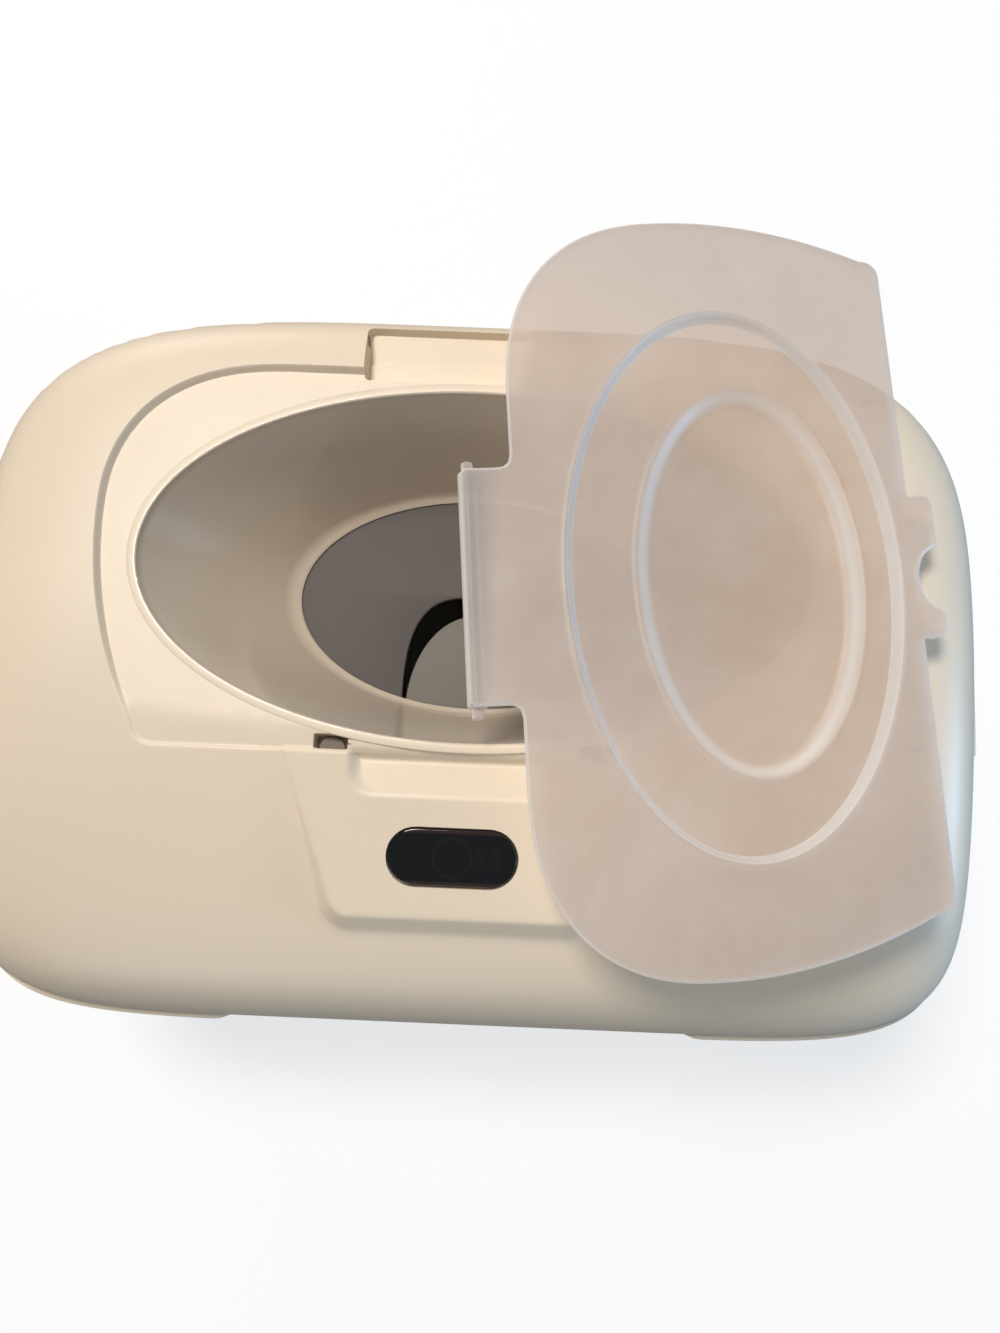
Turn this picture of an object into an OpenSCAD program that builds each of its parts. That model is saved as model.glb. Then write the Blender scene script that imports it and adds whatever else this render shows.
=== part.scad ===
// Baby wipe warmer: a box with a lift-out wipe tub, and a lift-off cover that holds the funnel,
// the top heater, the controls and the display. The translucent flip lid lies on the cover.
// Millimetres, +Z up, +Y to the back. The origin is on the floor under the body's middle.

/* [Body] */
// Width of the cover, side to side
body_w = 234; // [230:1:244]
// Depth of the cover, front to back
body_d = 165; // [162:1:175]
// How far the widest line lies in front of the middle
wide_at = 4; // [3:1:8]
// Height of the joint between the box and the cover
part_z = 92; // [90:0.5:94]
// Height of the lid seat on top of the cover
seat_z = 132; // [130:0.5:136]
// Rise of the crown above the lid seat
crown_h = 3; // [2.6:0.1:3.6]
// Fall of the crown at the front edge
front_fall = 23.5; // [21:0.5:25]
// Wall of the box and the cover
wall = 2.5; // [2.2:0.1:2.8]

/* [Box] */
// Height of the rubber feet
foot_h = 3; // [2:0.5:5]
// Radius of a rubber foot
foot_r = 7; // [5:0.5:9]
// Sideways distance of the feet from the middle
foot_x = 80; // [70:1:82]
// Distance of the feet in front of and behind the middle
foot_at = 46; // [38:1:48]
// How far the box wall stands in from the cover's edge at the top
box_inset = 3; // [2.8:0.1:3.6]
// How much further the box wall leans in at the floor
box_lean = 8; // [5:0.5:10]
// How far the box rim stands out past the cover's edge
rim_out = 1.3; // [0.6:0.1:1.8]
// Thickness of the box rim
rim_t = 1.6; // [1.4:0.1:2]
// Half width of the finger notch in the front of the rim
notch_half = 50; // [40:1:56]

/* [Wipe tub] */
// Thickness of the tub
tub_t = 2; // [1.6:0.1:2.2]
// How far the tub wall stands in from the cover's edge at the top
tub_inset = 18; // [17:0.5:18.5]
// How much further the tub wall leans in at its floor
tub_lean = 6; // [4:0.5:8]
// Gap between the tub's floor and the box floor
tub_air = 2.5; // [2:0.5:6]

/* [Lid seat] */
// Half width of the lid seat at its widest
seat_half = 81.1; // [79:0.1:82]
// Front edge of the lid seat
seat_front_at = -21.4; // [-21.8:0.1:-21.3]
// Back edge of the lid seat
seat_back_at = 62.5; // [62:0.1:63]
// Height on the plan of the seat's widest point
seat_wide_at = 27; // [25:1:29]
// Half width of the hinge pocket
pocket_half = 25.4; // [24:0.1:27]
// Front wall of the hinge pocket
pocket_front_at = 61.4; // [61.3:0.1:61.8]
// Back wall of the hinge pocket
pocket_back_at = 73.8; // [73.5:0.1:74.2]
// Depth of the hinge pocket under the seat
pocket_depth = 4.2; // [4.1:0.1:4.6]
// Radius of the lid's hinge nubs
nub_r = 1.3; // [1:0.1:1.5]
// Length of a hinge nub
nub_len = 2; // [1.5:0.1:2.4]
// Half width of the finger recess in front of the seat
press_half = 23.2; // [21.4:0.1:24]
// Front edge of the finger recess
press_front_at = -30.6; // [-31.5:0.1:-30]
// Depth of the finger recess at its back
press_depth = 4; // [3.4:0.1:4.2]
// Sideways place of the two catch slots
slot_x = 28.1; // [27.8:0.1:29]
// Length of a catch slot
slot_w = 6.6; // [6:0.1:7]
// Width of a catch slot
slot_d = 2.5; // [2:0.1:2.6]
// Radius of the catch posts under the slots
catch_r = 2.7; // [2.4:0.1:2.8]

/* [Control panel] */
// Half width of the raised panel at its back
panel_back_half = 38; // [36:0.5:40]
// Half width of the raised panel at its front
panel_front_half = 26; // [25:0.5:30]
// Front edge of the raised panel
panel_front_at = -55.6; // [-57:0.1:-54]
// Slope of the panel, in degrees
panel_slope = 9; // [8.5:0.1:9.5]
// Width of the slope round the panel's edge
panel_edge = 2.9; // [2:0.1:3.2]
// Length of the display window
window_w = 27.5; // [26:0.5:30]
// Height of the display window
window_h = 12.1; // [11.5:0.1:13]
// Thickness of the display window
window_t = 1.6; // [1.2:0.1:1.8]
// Sideways place of the display window
window_x = -1.5; // [-2:0.1:0]
// Place of the display window along the depth
window_at = -42.8; // [-43.5:0.1:-42]

/* [Funnel] */
// Half length of the funnel's mouth
mouth_a = 72.8; // [71:0.1:73]
// Half width of the funnel's mouth
mouth_half = 38.8; // [38:0.1:38.9]
// Half length of the funnel's throat
throat_a = 44.6; // [42:0.1:46]
// Half width of the funnel's throat
throat_half = 27.3; // [26:0.1:28]
// Middle of the funnel's mouth
mouth_at = 20; // [19.9:0.1:20.1]
// Depth of the funnel under the seat
funnel_depth = 37.7; // [36.5:0.1:38]
// Wall of the funnel
funnel_t = 1.5; // [1.2:0.1:1.5]
// Height of the funnel's rolled lip above the seat
lip_h = 0.5; // [0.4:0.1:0.6]
// Overlap of the lip on the seat
lip_over = 0.6; // [0.5:0.1:0.65]
// Thickness of the dispensing plate
plate_t = 1.8; // [1.5:0.1:2]
// Half width of the tongue in the dispensing plate
tongue_half = 16.5; // [15:0.1:18]
// Root of the tongue
tongue_root_at = -8.3; // [-9:0.1:-7]
// Length of the tongue
tongue_reach = 24.5; // [22:0.1:25]
// Width of the slot at the tongue's tip
slot_gap = 4.6; // [4.4:0.1:5]

/* [Heater and liner] */
// Thickness of the liner pan
liner_t = 2; // [1.8:0.1:2.2]
// How far the liner pan stands in from the cover's edge
liner_inset = 22; // [21.5:0.1:23]
// Thickness of the heat spreader
spreader_t = 1; // [0.8:0.1:1.5]
// Thickness of the heater film
film_t = 0.4; // [0.2:0.1:0.6]
// Thickness of the insulation
foam_t = 6; // [4:0.5:7]
// Radius of the liner screws' shanks
screw_r = 1.2; // [1:0.1:1.4]
// Radius of the screws' heads
head_r = 2.9; // [2.4:0.1:3]
// Height of the screws' heads
head_h = 1.8; // [1.4:0.1:1.9]

/* [Electronics] */
// Length of the control board
board_w = 64; // [60:1:68]
// Width of the control board
board_d = 30; // [26:1:30]
// Thickness of the control board
board_t = 1.6; // [1:0.2:2]
// Height of the control board's underside
board_z = 110; // [108:0.5:112]
// Radius of the power socket's barrel
jack_r = 5.5; // [5:0.1:6]
// Radius of the power socket's bore
jack_bore = 2.8; // [2.6:0.1:3]
// Radius of the power socket's centre pin
jack_pin = 1.05; // [0.8:0.05:1.2]
// Sideways place of the power socket
jack_x = 60; // [54:1:64]
// Height of the power socket's middle
jack_z = 107; // [106:0.5:109]
// Radius of the internal leads
lead_r = 1.5; // [1:0.1:1.8]

/* [Side latches] */
// Length of a latch button
latch_w = 21; // [18:0.5:24]
// Height of a latch button
latch_h = 9; // [8:0.5:10]
// How far a latch button stands out of the cover
latch_out = 2; // [1.6:0.1:2.4]
// Middle of the latch buttons along the depth
latch_y = -4.2; // [-8:0.2:0]
// Height of the latch buttons' middle
latch_z = 103; // [102.5:0.5:104]
// Radius of a latch spring
spring_r = 3; // [2.6:0.1:3.2]
// Wire of a latch spring
spring_wire = 0.6; // [0.4:0.1:0.8]

/* [Flip lid] */
// Thickness of the lid
lid_t = 1.8; // [1.5:0.1:2]
// Depth of the lid's outer step
step_depth = 2.8; // [2.4:0.1:3.2]
// Depth of the lid's inner dish
dish_depth = 6.2; // [5.5:0.1:6.6]
// Half length of the lid's outer step
step_a = 58.6; // [57:0.1:60]
// Half width of the lid's outer step
step_b = 34.6; // [33.5:0.1:35.5]
// Half length of the lid's inner dish
dish_a = 42; // [40:0.1:44]
// Half width of the lid's inner dish
dish_b = 23.6; // [22:0.1:25]
// Radius of the lid's hinge barrel
barrel_r = 2.1; // [1.9:0.1:2.2]
// Where the lid's middle lies to the right of the body's middle
lid_x = 48; // [46:0.5:50]
// Where the lid's middle lies behind the body's middle
lid_y = 16.8; // [15:0.2:18]
// Turn of the laid lid
lid_turn = 95.1; // [94:0.1:96]
// Lean of the laid lid to the back
lean_back = -2; // [-2.4:0.1:-1.6]
// Lean of the laid lid to the right
lean_right = 1.5; // [1.2:0.1:1.8]

/* [Hidden] */
$fn = 48;
ivory = [0.90, 0.86, 0.78];
pearl = [0.85, 0.82, 0.74];
frost = [0.86, 0.83, 0.81, 0.75];

// Clearances
gap = 0.3;
fit = 0.05;
skirt_gap = 0.2;
flange_gap = 1;
lid_gap = 0.6;
cut = 1;

// Places along the depth are given for the drawn depth, and follow the body's depth
drawn_depth = 165;
depth_scale = body_d / drawn_depth;
seat_front = seat_front_at * depth_scale;
seat_back = seat_back_at * depth_scale;
seat_wide_y = seat_wide_at * depth_scale;
pocket_front = pocket_front_at * depth_scale;
pocket_back = pocket_back_at * depth_scale;
press_front = press_front_at * depth_scale;
panel_front = panel_front_at * depth_scale;
window_y = window_at * depth_scale;
mouth_b = mouth_half * depth_scale;
throat_b = throat_half * depth_scale;
mouth_y = mouth_at * depth_scale;
tongue_root = tongue_root_at * depth_scale;
tongue_len = tongue_reach * depth_scale;
wide_front = wide_at * depth_scale;
foot_y = foot_at * depth_scale;

// Shape of the body
ring_steps = 72;
front_len = body_d / 2 - wide_front;
back_len = body_d / 2 + wide_front;
front_power = 7.1;
back_power = 4.15;
edge_power = 13;
edge_root = 2.6;
front_root = 1.3;
fall_start = 15;
fall_rate = front_fall / pow(fall_start + body_d / 2, 2);
side_crown = 0.0001;
outer_rings = [1, 0.999, 0.995, 0.988, 0.976, 0.96, 0.94, 0.915, 0.88, 0.83, 0.76, 0.66, 0.52, 0.36, 0.18];
inner_rings = [1, 0.996, 0.985, 0.965, 0.94, 0.9, 0.84, 0.74, 0.58, 0.36];

// Heights that follow from each other
box_floor = foot_h;
throat_z = seat_z - funnel_depth;
plate_z = throat_z - plate_t;
liner_z = plate_z - liner_t;
flange_z = part_z + tub_t + flange_gap;
flange_top = flange_z + liner_t;
pad_top = flange_top + liner_t;
spreader_z = plate_z;
film_z = spreader_z + spreader_t;
foam_z = film_z + film_t;
foam_top = foam_z + foam_t;
board_top = board_z + board_t;
pocket_z = seat_z - pocket_depth;
pin_y = pocket_back - barrel_r - 0.8;
pin_z = pocket_z + barrel_r + 0.4;
press_z = seat_z - press_depth;
press_back = seat_front - 0.2;
hole_a = mouth_a + funnel_t + 0.1;
hole_b = mouth_b + funnel_t + 0.1;
throat_y = mouth_y - 0.8;
spreader_inset = liner_inset + liner_t + 1.5;
spreader_a = throat_a + 9.4;
spreader_rim = 2.5;
spreader_b = body_d / 2 - spreader_inset - spreader_rim - throat_y;
slot_y = mouth_y - hole_b * sqrt(1 - pow(slot_x / hole_a, 2)) - 0.9 - slot_d / 2;
catch_y = slot_y - slot_d / 2;
catch_z = seat_z - 6.5;
catch_top = seat_z - 3.2;
screw_x = body_w / 2 - 17;
screw_back = body_d / 2 - 40.5;
screw_front = 32.5 - body_d / 2;
screw_spots = [[-screw_x, screw_back], [screw_x, screw_back], [-screw_x - 1, screw_front], [screw_x + 1, screw_front],
               [0, body_d / 2 - 12], [0, 11.5 - body_d / 2]];
board_spots = [[window_x - 27, window_y], [window_x + 27, window_y]];
board_x = window_x;
board_y = window_y;
sensor_x = body_w / 2 - 55;
sensor_y = -34 * depth_scale;
fuse_x = -sensor_x;
fuse_r = 1.8;
film_lead = [-38, screw_front];
lead_x = body_w / 2 - 29;
jack_face = body_d / 2 - 3;
jack_flange = 1.2;
jack_rear = jack_face - 16;
latch_rim = 1.8;
latch_flange = 1.5;
latch_bore = spring_r - spring_wire;
spring_len = 8.5;
rib_t = 2;
latch_top = latch_z + latch_h / 2 + latch_rim;
facet = 0.2;
latch_stop = hollow_x(latch_top) - facet - gap;
rib_x = latch_stop - latch_flange - spring_len;
leg_half = 4;
screw_len = 10;
board_screw_len = 9;
ledge_h = 0.8;
ledge_w = 5;
ledge_t = 1.5;
led_h = 8;
plate_seat = 4.4;
nut_back = jack_face - 3;
nut_r = jack_r + 3;
tab_half = 15;
tab_out = 5.2;
notch_x = 12.5;
notch_r = 4.2;
rib_end = 38;
rib_h = 2.5;
lid_mid_y = 23.3;
lean_room = 2;
step_y = -6.3;
dish_y = -10.4;
step_draft = 1.4;
dish_draft = 4.2;
lid_z = seat_z + lip_h + gap + dish_depth + lid_t + lean_room;

function power(v, n) = sign(v) * pow(abs(v), n);
function lerp(a, b, t) = a + (b - a) * t;

// A point of the plan at angle t, drawn in by inset and shrunk by r about the widest line
function plan_point(t, inset, r = 1) =
    let (n = t <= 180 ? back_power : front_power)
    let (len = (t <= 180 ? back_len : front_len) - inset)
    [r * (body_w / 2 - inset) * power(cos(t), 2 / n), -wide_front + r * len * power(sin(t), 2 / n)];
function plan_ring(inset, z) =
    [for (i = [0:ring_steps - 1]) let (p = plan_point(i * 360 / ring_steps, inset)) [p[0], p[1], z]];

// Height of the cover's crown, and of the cover's surface at a share r of the plan, above its foot
function crown_z(x, y) =
    seat_z + crown_h - side_crown * x * x - (y < fall_start ? fall_rate * pow(fall_start - y, 2) : 0);
// The edge is rounder at the sides and the back than at the front, where front is 1
function edge_share(r, front) =
    pow(max(0, 1 - pow(r, edge_power)), 1 / lerp(edge_root, front_root, pow(front, 3)));
function frontness(y, r, inset) = r < 0.01 ? 0 : min(1, max(0, -(y + wide_front) / (r * (front_len - inset))));
function cover_ring(r, inset, drop, foot) = [
    for (i = [0:ring_steps - 1])
        let (p = plan_point(i * 360 / ring_steps, inset, r))
        [p[0], p[1], foot + (crown_z(p[0], p[1]) - drop - foot) * edge_share(r, frontness(p[1], r, inset))]
];
function plan_share(x, y) =
    let (n = y > -wide_front ? back_power : front_power)
    let (len = y > -wide_front ? back_len : front_len)
    pow(pow(abs(x) / (body_w / 2), n) + pow(abs(y + wide_front) / len, n), 1 / n);
function cover_z(x, y) =
    let (r = plan_share(x, y))
    part_z + (crown_z(x, y) - part_z) * edge_share(r, frontness(y, r, 0));
// Half width of the cover at a height, on the widest line
function side_x(z) =
    body_w / 2 * pow(1 - pow((z - part_z) / (seat_z + crown_h - part_z), edge_root), 1 / edge_power);

// The same for the cover's hollow
function hollow_x(z) =
    let (foot = part_z - cut)
    (body_w / 2 - wall) * pow(1 - pow((z - foot) / (crown_z(body_w / 2, 0) - wall - foot), edge_root), 1 / edge_power);

// A closed solid through rings of equal count, the lowest first
module loft(rings) {
    n = len(rings[0]);
    m = len(rings);
    polyhedron(
        points = [for (ring = rings) for (p = ring) p],
        faces = concat(
            [[for (i = [0:n - 1]) i]],
            [for (j = [0:m - 2]) for (i = [0:n - 1]) [j * n + i, (j + 1) * n + i, (j + 1) * n + (i + 1) % n]],
            [for (j = [0:m - 2]) for (i = [0:n - 1]) [j * n + i, (j + 1) * n + (i + 1) % n, j * n + (i + 1) % n]],
            [[for (i = [0:n - 1]) (m - 1) * n + n - 1 - i]]
        ),
        convexity = 6
    );
}

// The cover's form as a solid: the outer skin, or its hollow when drawn in
module cover_form(shares, inset, drop, foot) {
    n = ring_steps;
    rings = [for (r = shares) cover_ring(r, inset, drop, foot)];
    m = len(rings);
    polyhedron(
        points = concat([for (ring = rings) for (p = ring) p], [[0, -wide_front, crown_z(0, -wide_front) - drop]]),
        faces = concat(
            [[for (i = [0:n - 1]) i]],
            [for (j = [0:m - 2]) for (i = [0:n - 1]) [j * n + i, (j + 1) * n + i, (j + 1) * n + (i + 1) % n]],
            [for (j = [0:m - 2]) for (i = [0:n - 1]) [j * n + i, (j + 1) * n + (i + 1) % n, j * n + (i + 1) % n]],
            [for (i = [0:n - 1]) [(m - 1) * n + (i + 1) % n, (m - 1) * n + i, m * n]]
        ),
        convexity = 8
    );
}

// A flat ring on the body's plan, between two insets
module plan_band(outer, inner, z, h) {
    translate([0, 0, z])
    linear_extrude(h)
    difference() {
        polygon([for (p = plan_ring(outer, 0)) [p[0], p[1]]]);
        polygon([for (p = plan_ring(inner, 0)) [p[0], p[1]]]);
    }
}

module plan_slab(inset, z, h) {
    translate([0, 0, z])
    linear_extrude(h)
    polygon([for (p = plan_ring(inset, 0)) [p[0], p[1]]]);
}

function ellipse(a, b, y, z) =
    [for (i = [0:ring_steps - 1]) [a * cos(i * 360 / ring_steps), y + b * sin(i * 360 / ring_steps), z]];
module oval(a, b, y) {
    polygon([for (p = ellipse(a, b, y, 0)) [p[0], p[1]]]);
}

// Right half of the lid seat's outline, drawn in by clear, from the front to the back
function seat_side(y) = seat_half - 0.0055 * pow(seat_wide_y - y, 2);
seat_corner = 4.5;
seat_flat = 41;
seat_round = 2.4;
function seat_half_outline(clear) = concat(
    [for (t = [-80:20:0])
        [seat_side(seat_front + seat_corner) - seat_corner + (seat_corner - clear) * cos(t),
         seat_front + seat_corner + (seat_corner - clear) * sin(t)]],
    [for (y = [seat_front + seat_corner + 6:8:seat_wide_y - 4]) [seat_side(y) - clear, y]],
    [for (t = [0:7.5:90])
        [seat_flat + (seat_half - seat_flat - clear) * power(cos(t), 2 / seat_round),
         seat_wide_y + (seat_back - seat_wide_y - clear) * power(sin(t), 2 / seat_round)]]
);
function seat_outline(clear) =
    let (half = seat_half_outline(clear))
    concat(half, [for (i = [len(half) - 1:-1:0]) [-half[i][0], half[i][1]]]);

// The raised control panel's outline, widened by edge and lowered by drop
function panel_z(y) = seat_z + (y - seat_front) * tan(panel_slope);
panel_corner = 4;
function panel_half(edge, drop) = concat(
    [for (t = [0, 1])
        let (y = lerp(seat_front, panel_front + panel_corner, t))
        [lerp(panel_back_half, panel_front_half, t) + edge, y, panel_z(y) - drop]],
    [for (t = [22.5:22.5:90])
        let (y = panel_front + panel_corner - (panel_corner + edge) * sin(t))
        [panel_front_half - panel_corner + (panel_corner + edge) * cos(t), y, panel_z(y) - drop]]
);
function panel_ring(edge, drop) =
    let (half = panel_half(edge, drop))
    concat([for (i = [0:len(half) - 1]) [-half[i][0], half[i][1], half[i][2]]],
           [for (i = [len(half) - 1:-1:0]) half[i]]);

module stadium(w, h) {
    union() {
        square([w - h, h], center = true);
        translate([-(w - h) / 2, 0]) circle(d = h);
        translate([(w - h) / 2, 0]) circle(d = h);
    }
}

module at_window() {
    translate([window_x, window_y, panel_z(window_y)]) rotate([panel_slope, 0, 0]) children();
}

module base_shell() {
    floor_inset = box_inset + box_lean;
    color(ivory)
    difference() {
        union() {
            loft([plan_ring(floor_inset + 4, box_floor), plan_ring(floor_inset + 1, box_floor + 1.5),
                  plan_ring(floor_inset - 0.4, box_floor + 5), plan_ring(box_inset, part_z - rim_t),
                  plan_ring(box_inset, part_z)]);
            plan_slab(-rim_out, part_z - rim_t, rim_t);
        }
        loft([plan_ring(floor_inset + wall + 2, box_floor + wall), plan_ring(floor_inset + wall, box_floor + wall + 4),
              plan_ring(box_inset + wall, part_z - rim_t), plan_ring(box_inset + wall, part_z + cut)]);
        translate([-notch_half, -body_d / 2 - rim_out - cut, part_z - rim_t - cut])
        cube([2 * notch_half, box_inset + rim_out + cut, rim_t + 2 * cut]);
    }
}

module rubber_feet() {
    color([0.25, 0.25, 0.26])
    for (x = [-foot_x, foot_x], y = [-foot_y, foot_y]) {
        translate([x, y, 0]) cylinder(r1 = foot_r - 0.8, r2 = foot_r, h = foot_h);
    }
}

module wipe_tub() {
    tub_floor = box_floor + wall + tub_air;
    low = tub_inset + tub_lean;
    color([0.93, 0.92, 0.88])
    difference() {
        union() {
            loft([plan_ring(low + 3, tub_floor), plan_ring(low, tub_floor + 4), plan_ring(tub_inset, part_z),
                  plan_ring(tub_inset, part_z + tub_t)]);
            plan_slab(wall + 2 * gap, part_z, tub_t);
        }
        loft([plan_ring(low + tub_t + 3, tub_floor + tub_t), plan_ring(low + tub_t, tub_floor + tub_t + 4),
              plan_ring(tub_inset + tub_t, part_z), plan_ring(tub_inset + tub_t, part_z + tub_t + cut)]);
    }
}

// Solid stock that the hollow of the cover leaves under the seat, the pocket and the slots
module cover_stock() {
    translate([0, 0, seat_z - wall])
    linear_extrude(crown_h + wall)
    polygon(seat_outline(-wall));
    translate([-pocket_half - nub_len - wall, pocket_front - 1, pocket_z - wall])
    cube([2 * (pocket_half + nub_len + wall), pocket_back + wall - pocket_front + 1, 20]);
    translate([-press_half - wall, press_front - wall, press_z - wall])
    cube([2 * (press_half + wall), press_back - press_front + 2 * wall, 20]);
    for (x = [-slot_x, slot_x]) {
        translate([x - catch_r - wall, catch_y - catch_r - wall, catch_z - wall])
        cube([2 * (catch_r + wall), 2 * catch_r + wall + 1.6, 20]);
    }
}

module cover_bosses() {
    for (p = screw_spots) {
        top = p[0] == 0 && p[1] > 0 ? pocket_z - wall / 2 : cover_z(p[0] * 1.04, p[1] * 1.04) - wall;
        translate([p[0], p[1], pad_top]) cylinder(r = screw_r + 2.2, h = top - pad_top);
    }
    for (p = board_spots) {
        translate([p[0], p[1], board_top]) cylinder(r = screw_r + 1.8, h = cover_z(p[0], p[1]) - wall / 2 - board_top);
    }
}

// A profile of the Y and Z plane, drawn out along X to half on each side
module along_x(half) {
    rotate([90, 0, 90]) translate([0, 0, -half]) linear_extrude(2 * half) children();
}

// A round bar from one place to another along Y
module along_y(r, y0, y1) {
    translate([0, y1, 0]) rotate([90, 0, 0]) cylinder(r = r, h = y1 - y0);
}

module cover_shell() {
    color(ivory)
    difference() {
        union() {
            difference() {
                cover_form(outer_rings, 0, 0, part_z + skirt_gap);
                difference() {
                    cover_form(inner_rings, wall, wall, part_z - cut);
                    cover_stock();
                }
            }
            loft([panel_ring(panel_edge, panel_edge + 2), panel_ring(panel_edge, panel_edge), panel_ring(0, 0)]);
            cover_bosses();
            translate([jack_x, 0, jack_z]) along_y(jack_r + 4, nut_back, jack_face - 0.5);
        }
        // Lid seat
        translate([0, 0, seat_z]) linear_extrude(20) polygon(seat_outline(0));
        // Funnel hole
        translate([0, 0, part_z]) linear_extrude(60) oval(hole_a, hole_b, mouth_y);
        // Hinge pocket, with a ledge along its front and a blind bore at each end
        translate([-pocket_half, pocket_front, pocket_z + ledge_h])
        cube([2 * pocket_half, pocket_back - pocket_front, 20]);
        translate([-pocket_half, pocket_front + ledge_w, pocket_z])
        cube([2 * pocket_half, pocket_back - pocket_front - ledge_w, 20]);
        translate([-pocket_half - nub_len - gap, pin_y, pin_z])
        rotate([0, 90, 0])
        cylinder(r = nub_r + fit, h = 2 * (pocket_half + nub_len + gap));
        // Finger recess, whose floor falls towards the seat
        along_x(press_half)
        polygon([[press_back, press_z], [press_front, panel_z(press_front)], [press_front, seat_z + 5],
                 [press_back, seat_z + 5]]);
        // Catch slots, each over a bore for its post
        for (x = [-slot_x, slot_x]) {
            translate([x - slot_w / 2, slot_y - slot_d / 2, catch_top]) cube([slot_w, slot_d, 10]);
            translate([x, catch_y, catch_z]) cylinder(r = catch_r, h = catch_top + gap - catch_z);
        }
        // Display window, its ledge and its through hole
        at_window() translate([0, 0, -window_t]) linear_extrude(12) stadium(window_w, window_h);
        at_window() translate([0, 0, -12]) linear_extrude(14) stadium(window_w - 2 * ledge_t, window_h - 2 * ledge_t);
        // Power socket: spot face and hole
        translate([jack_x, 0, jack_z]) along_y(jack_r + 1.6, jack_face, jack_face + 8);
        translate([jack_x, 0, jack_z]) along_y(jack_r + fit, jack_face - 8, jack_face + cut);
        translate([jack_x, 0, jack_z]) along_y(nut_r + gap, jack_rear, nut_back);
        // Latch windows
        for (s = [-1, 1]) {
            translate([s * (side_x(latch_z) - 3), latch_y, latch_z])
            cube([2 * wall + 8, latch_w + 2 * gap, latch_h + 2 * gap], center = true);
        }
        // Screw bores
        for (p = screw_spots) {
            translate([p[0], p[1], pad_top - cut]) cylinder(r = screw_r, h = screw_len + cut);
        }
        for (p = board_spots) {
            translate([p[0], p[1], board_top - cut]) cylinder(r = screw_r, h = board_screw_len + cut);
        }
    }
}

function funnel_ring(t, grow, z) =
    ellipse(lerp(mouth_a, throat_a, t) + grow, lerp(mouth_b, throat_b, t) + grow, lerp(mouth_y, throat_y, t), z);
function funnel_z(t) = lerp(seat_z, throat_z, pow(t, 0.92));

module funnel() {
    color(pearl)
    difference() {
        union() {
            loft([for (t = [1, 0.75, 0.5, 0.25, 0]) funnel_ring(t, funnel_t, funnel_z(t))]);
            translate([0, 0, seat_z]) linear_extrude(lip_h) oval(hole_a + lip_over, hole_b + lip_over, mouth_y);
        }
        loft(concat([funnel_ring(1, 0, throat_z - cut)], [for (t = [1, 0.75, 0.5, 0.25, 0]) funnel_ring(t, 0, funnel_z(t))],
                    [funnel_ring(0, 0, seat_z + lip_h + cut)]));
    }
}

// The plate under the throat, with a tongue left by a horseshoe slot
module dispensing_plate() {
    tips = 0.8;
    horseshoe = concat(
        [for (t = [0:7.5:180]) [(tongue_half + tips) * power(cos(t), 2 / 3),
                                tongue_root + (tongue_len + slot_gap) * power(sin(t), 2 / 3)]],
        [for (t = [180:-7.5:0]) [tongue_half * cos(t), tongue_root + tongue_len * sin(t)]]
    );
    color([0.62, 0.60, 0.63])
    translate([0, 0, plate_z])
    linear_extrude(plate_t)
    difference() {
        oval(throat_a + plate_seat, throat_b + plate_seat, throat_y);
        polygon(horseshoe);
    }
}

module liner_pan() {
    color([0.80, 0.79, 0.75])
    difference() {
        union() {
            plan_slab(liner_inset, liner_z, flange_top - liner_z);
            plan_slab(wall + 1.5, flange_z, liner_t);
            for (p = screw_spots) {
                translate([p[0], p[1], flange_top]) cylinder(r = head_r + 1.9, h = pad_top - flange_top);
            }
            for (s = [-1, 1]) {
                translate([s * (rib_x - rib_t / 2) - rib_t / 2, latch_y - latch_w / 2 + 3, flange_top])
                cube([rib_t, latch_w - 6, latch_z + latch_h / 2 - flange_top]);
            }
        }
        plan_slab(liner_inset + liner_t, plate_z, flange_top);
        translate([0, 0, liner_z - cut]) linear_extrude(liner_t + 2 * cut) oval(throat_a + 2, throat_b + 1.8, throat_y);
        for (p = screw_spots) {
            translate([p[0], p[1], flange_z - cut]) cylinder(r = head_r + gap, h = pad_top - liner_t - flange_z + cut);
            translate([p[0], p[1], flange_z]) cylinder(r = screw_r + gap, h = pad_top + cut - flange_z);
        }
        for (s = [-1, 1]) {
            translate([s * (latch_stop + 3 - 6) - 6, latch_y - leg_half - gap, flange_z - cut])
            cube([12, 2 * (leg_half + gap), liner_t + 2 * cut]);
        }
    }
}

module liner_seal() {
    color([0.55, 0.55, 0.56])
    plan_band(tub_inset + tub_t + gap, liner_inset, plate_z - 1, 3);
}

module heater_sheet(inset, grow, z, h) {
    translate([0, 0, z])
    linear_extrude(h)
    difference() {
        polygon([for (p = plan_ring(inset, 0)) [p[0], p[1]]]);
        oval(spreader_a + grow, spreader_b + grow, throat_y);
    }
}

module heat_spreader() {
    color([0.78, 0.79, 0.81]) heater_sheet(spreader_inset, 0, spreader_z, spreader_t);
}

module heater_film() {
    color([0.80, 0.45, 0.12]) heater_sheet(spreader_inset + 0.5, 0.4, film_z, film_t);
}

module insulation_foam() {
    color([0.94, 0.94, 0.92])
    difference() {
        heater_sheet(spreader_inset + 0.5, 0.4, foam_z, foam_t);
        translate([sensor_x, sensor_y, foam_z - cut]) cylinder(r = 6, h = foam_t + 2 * cut);
        translate([fuse_x, sensor_y, foam_z + foam_t / 2]) cube([18, 8, foam_t + 2 * cut], center = true);
        translate([film_lead[0], film_lead[1], foam_z - cut]) cylinder(r = lead_r + 1, h = foam_t + 2 * cut);
    }
}

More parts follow.
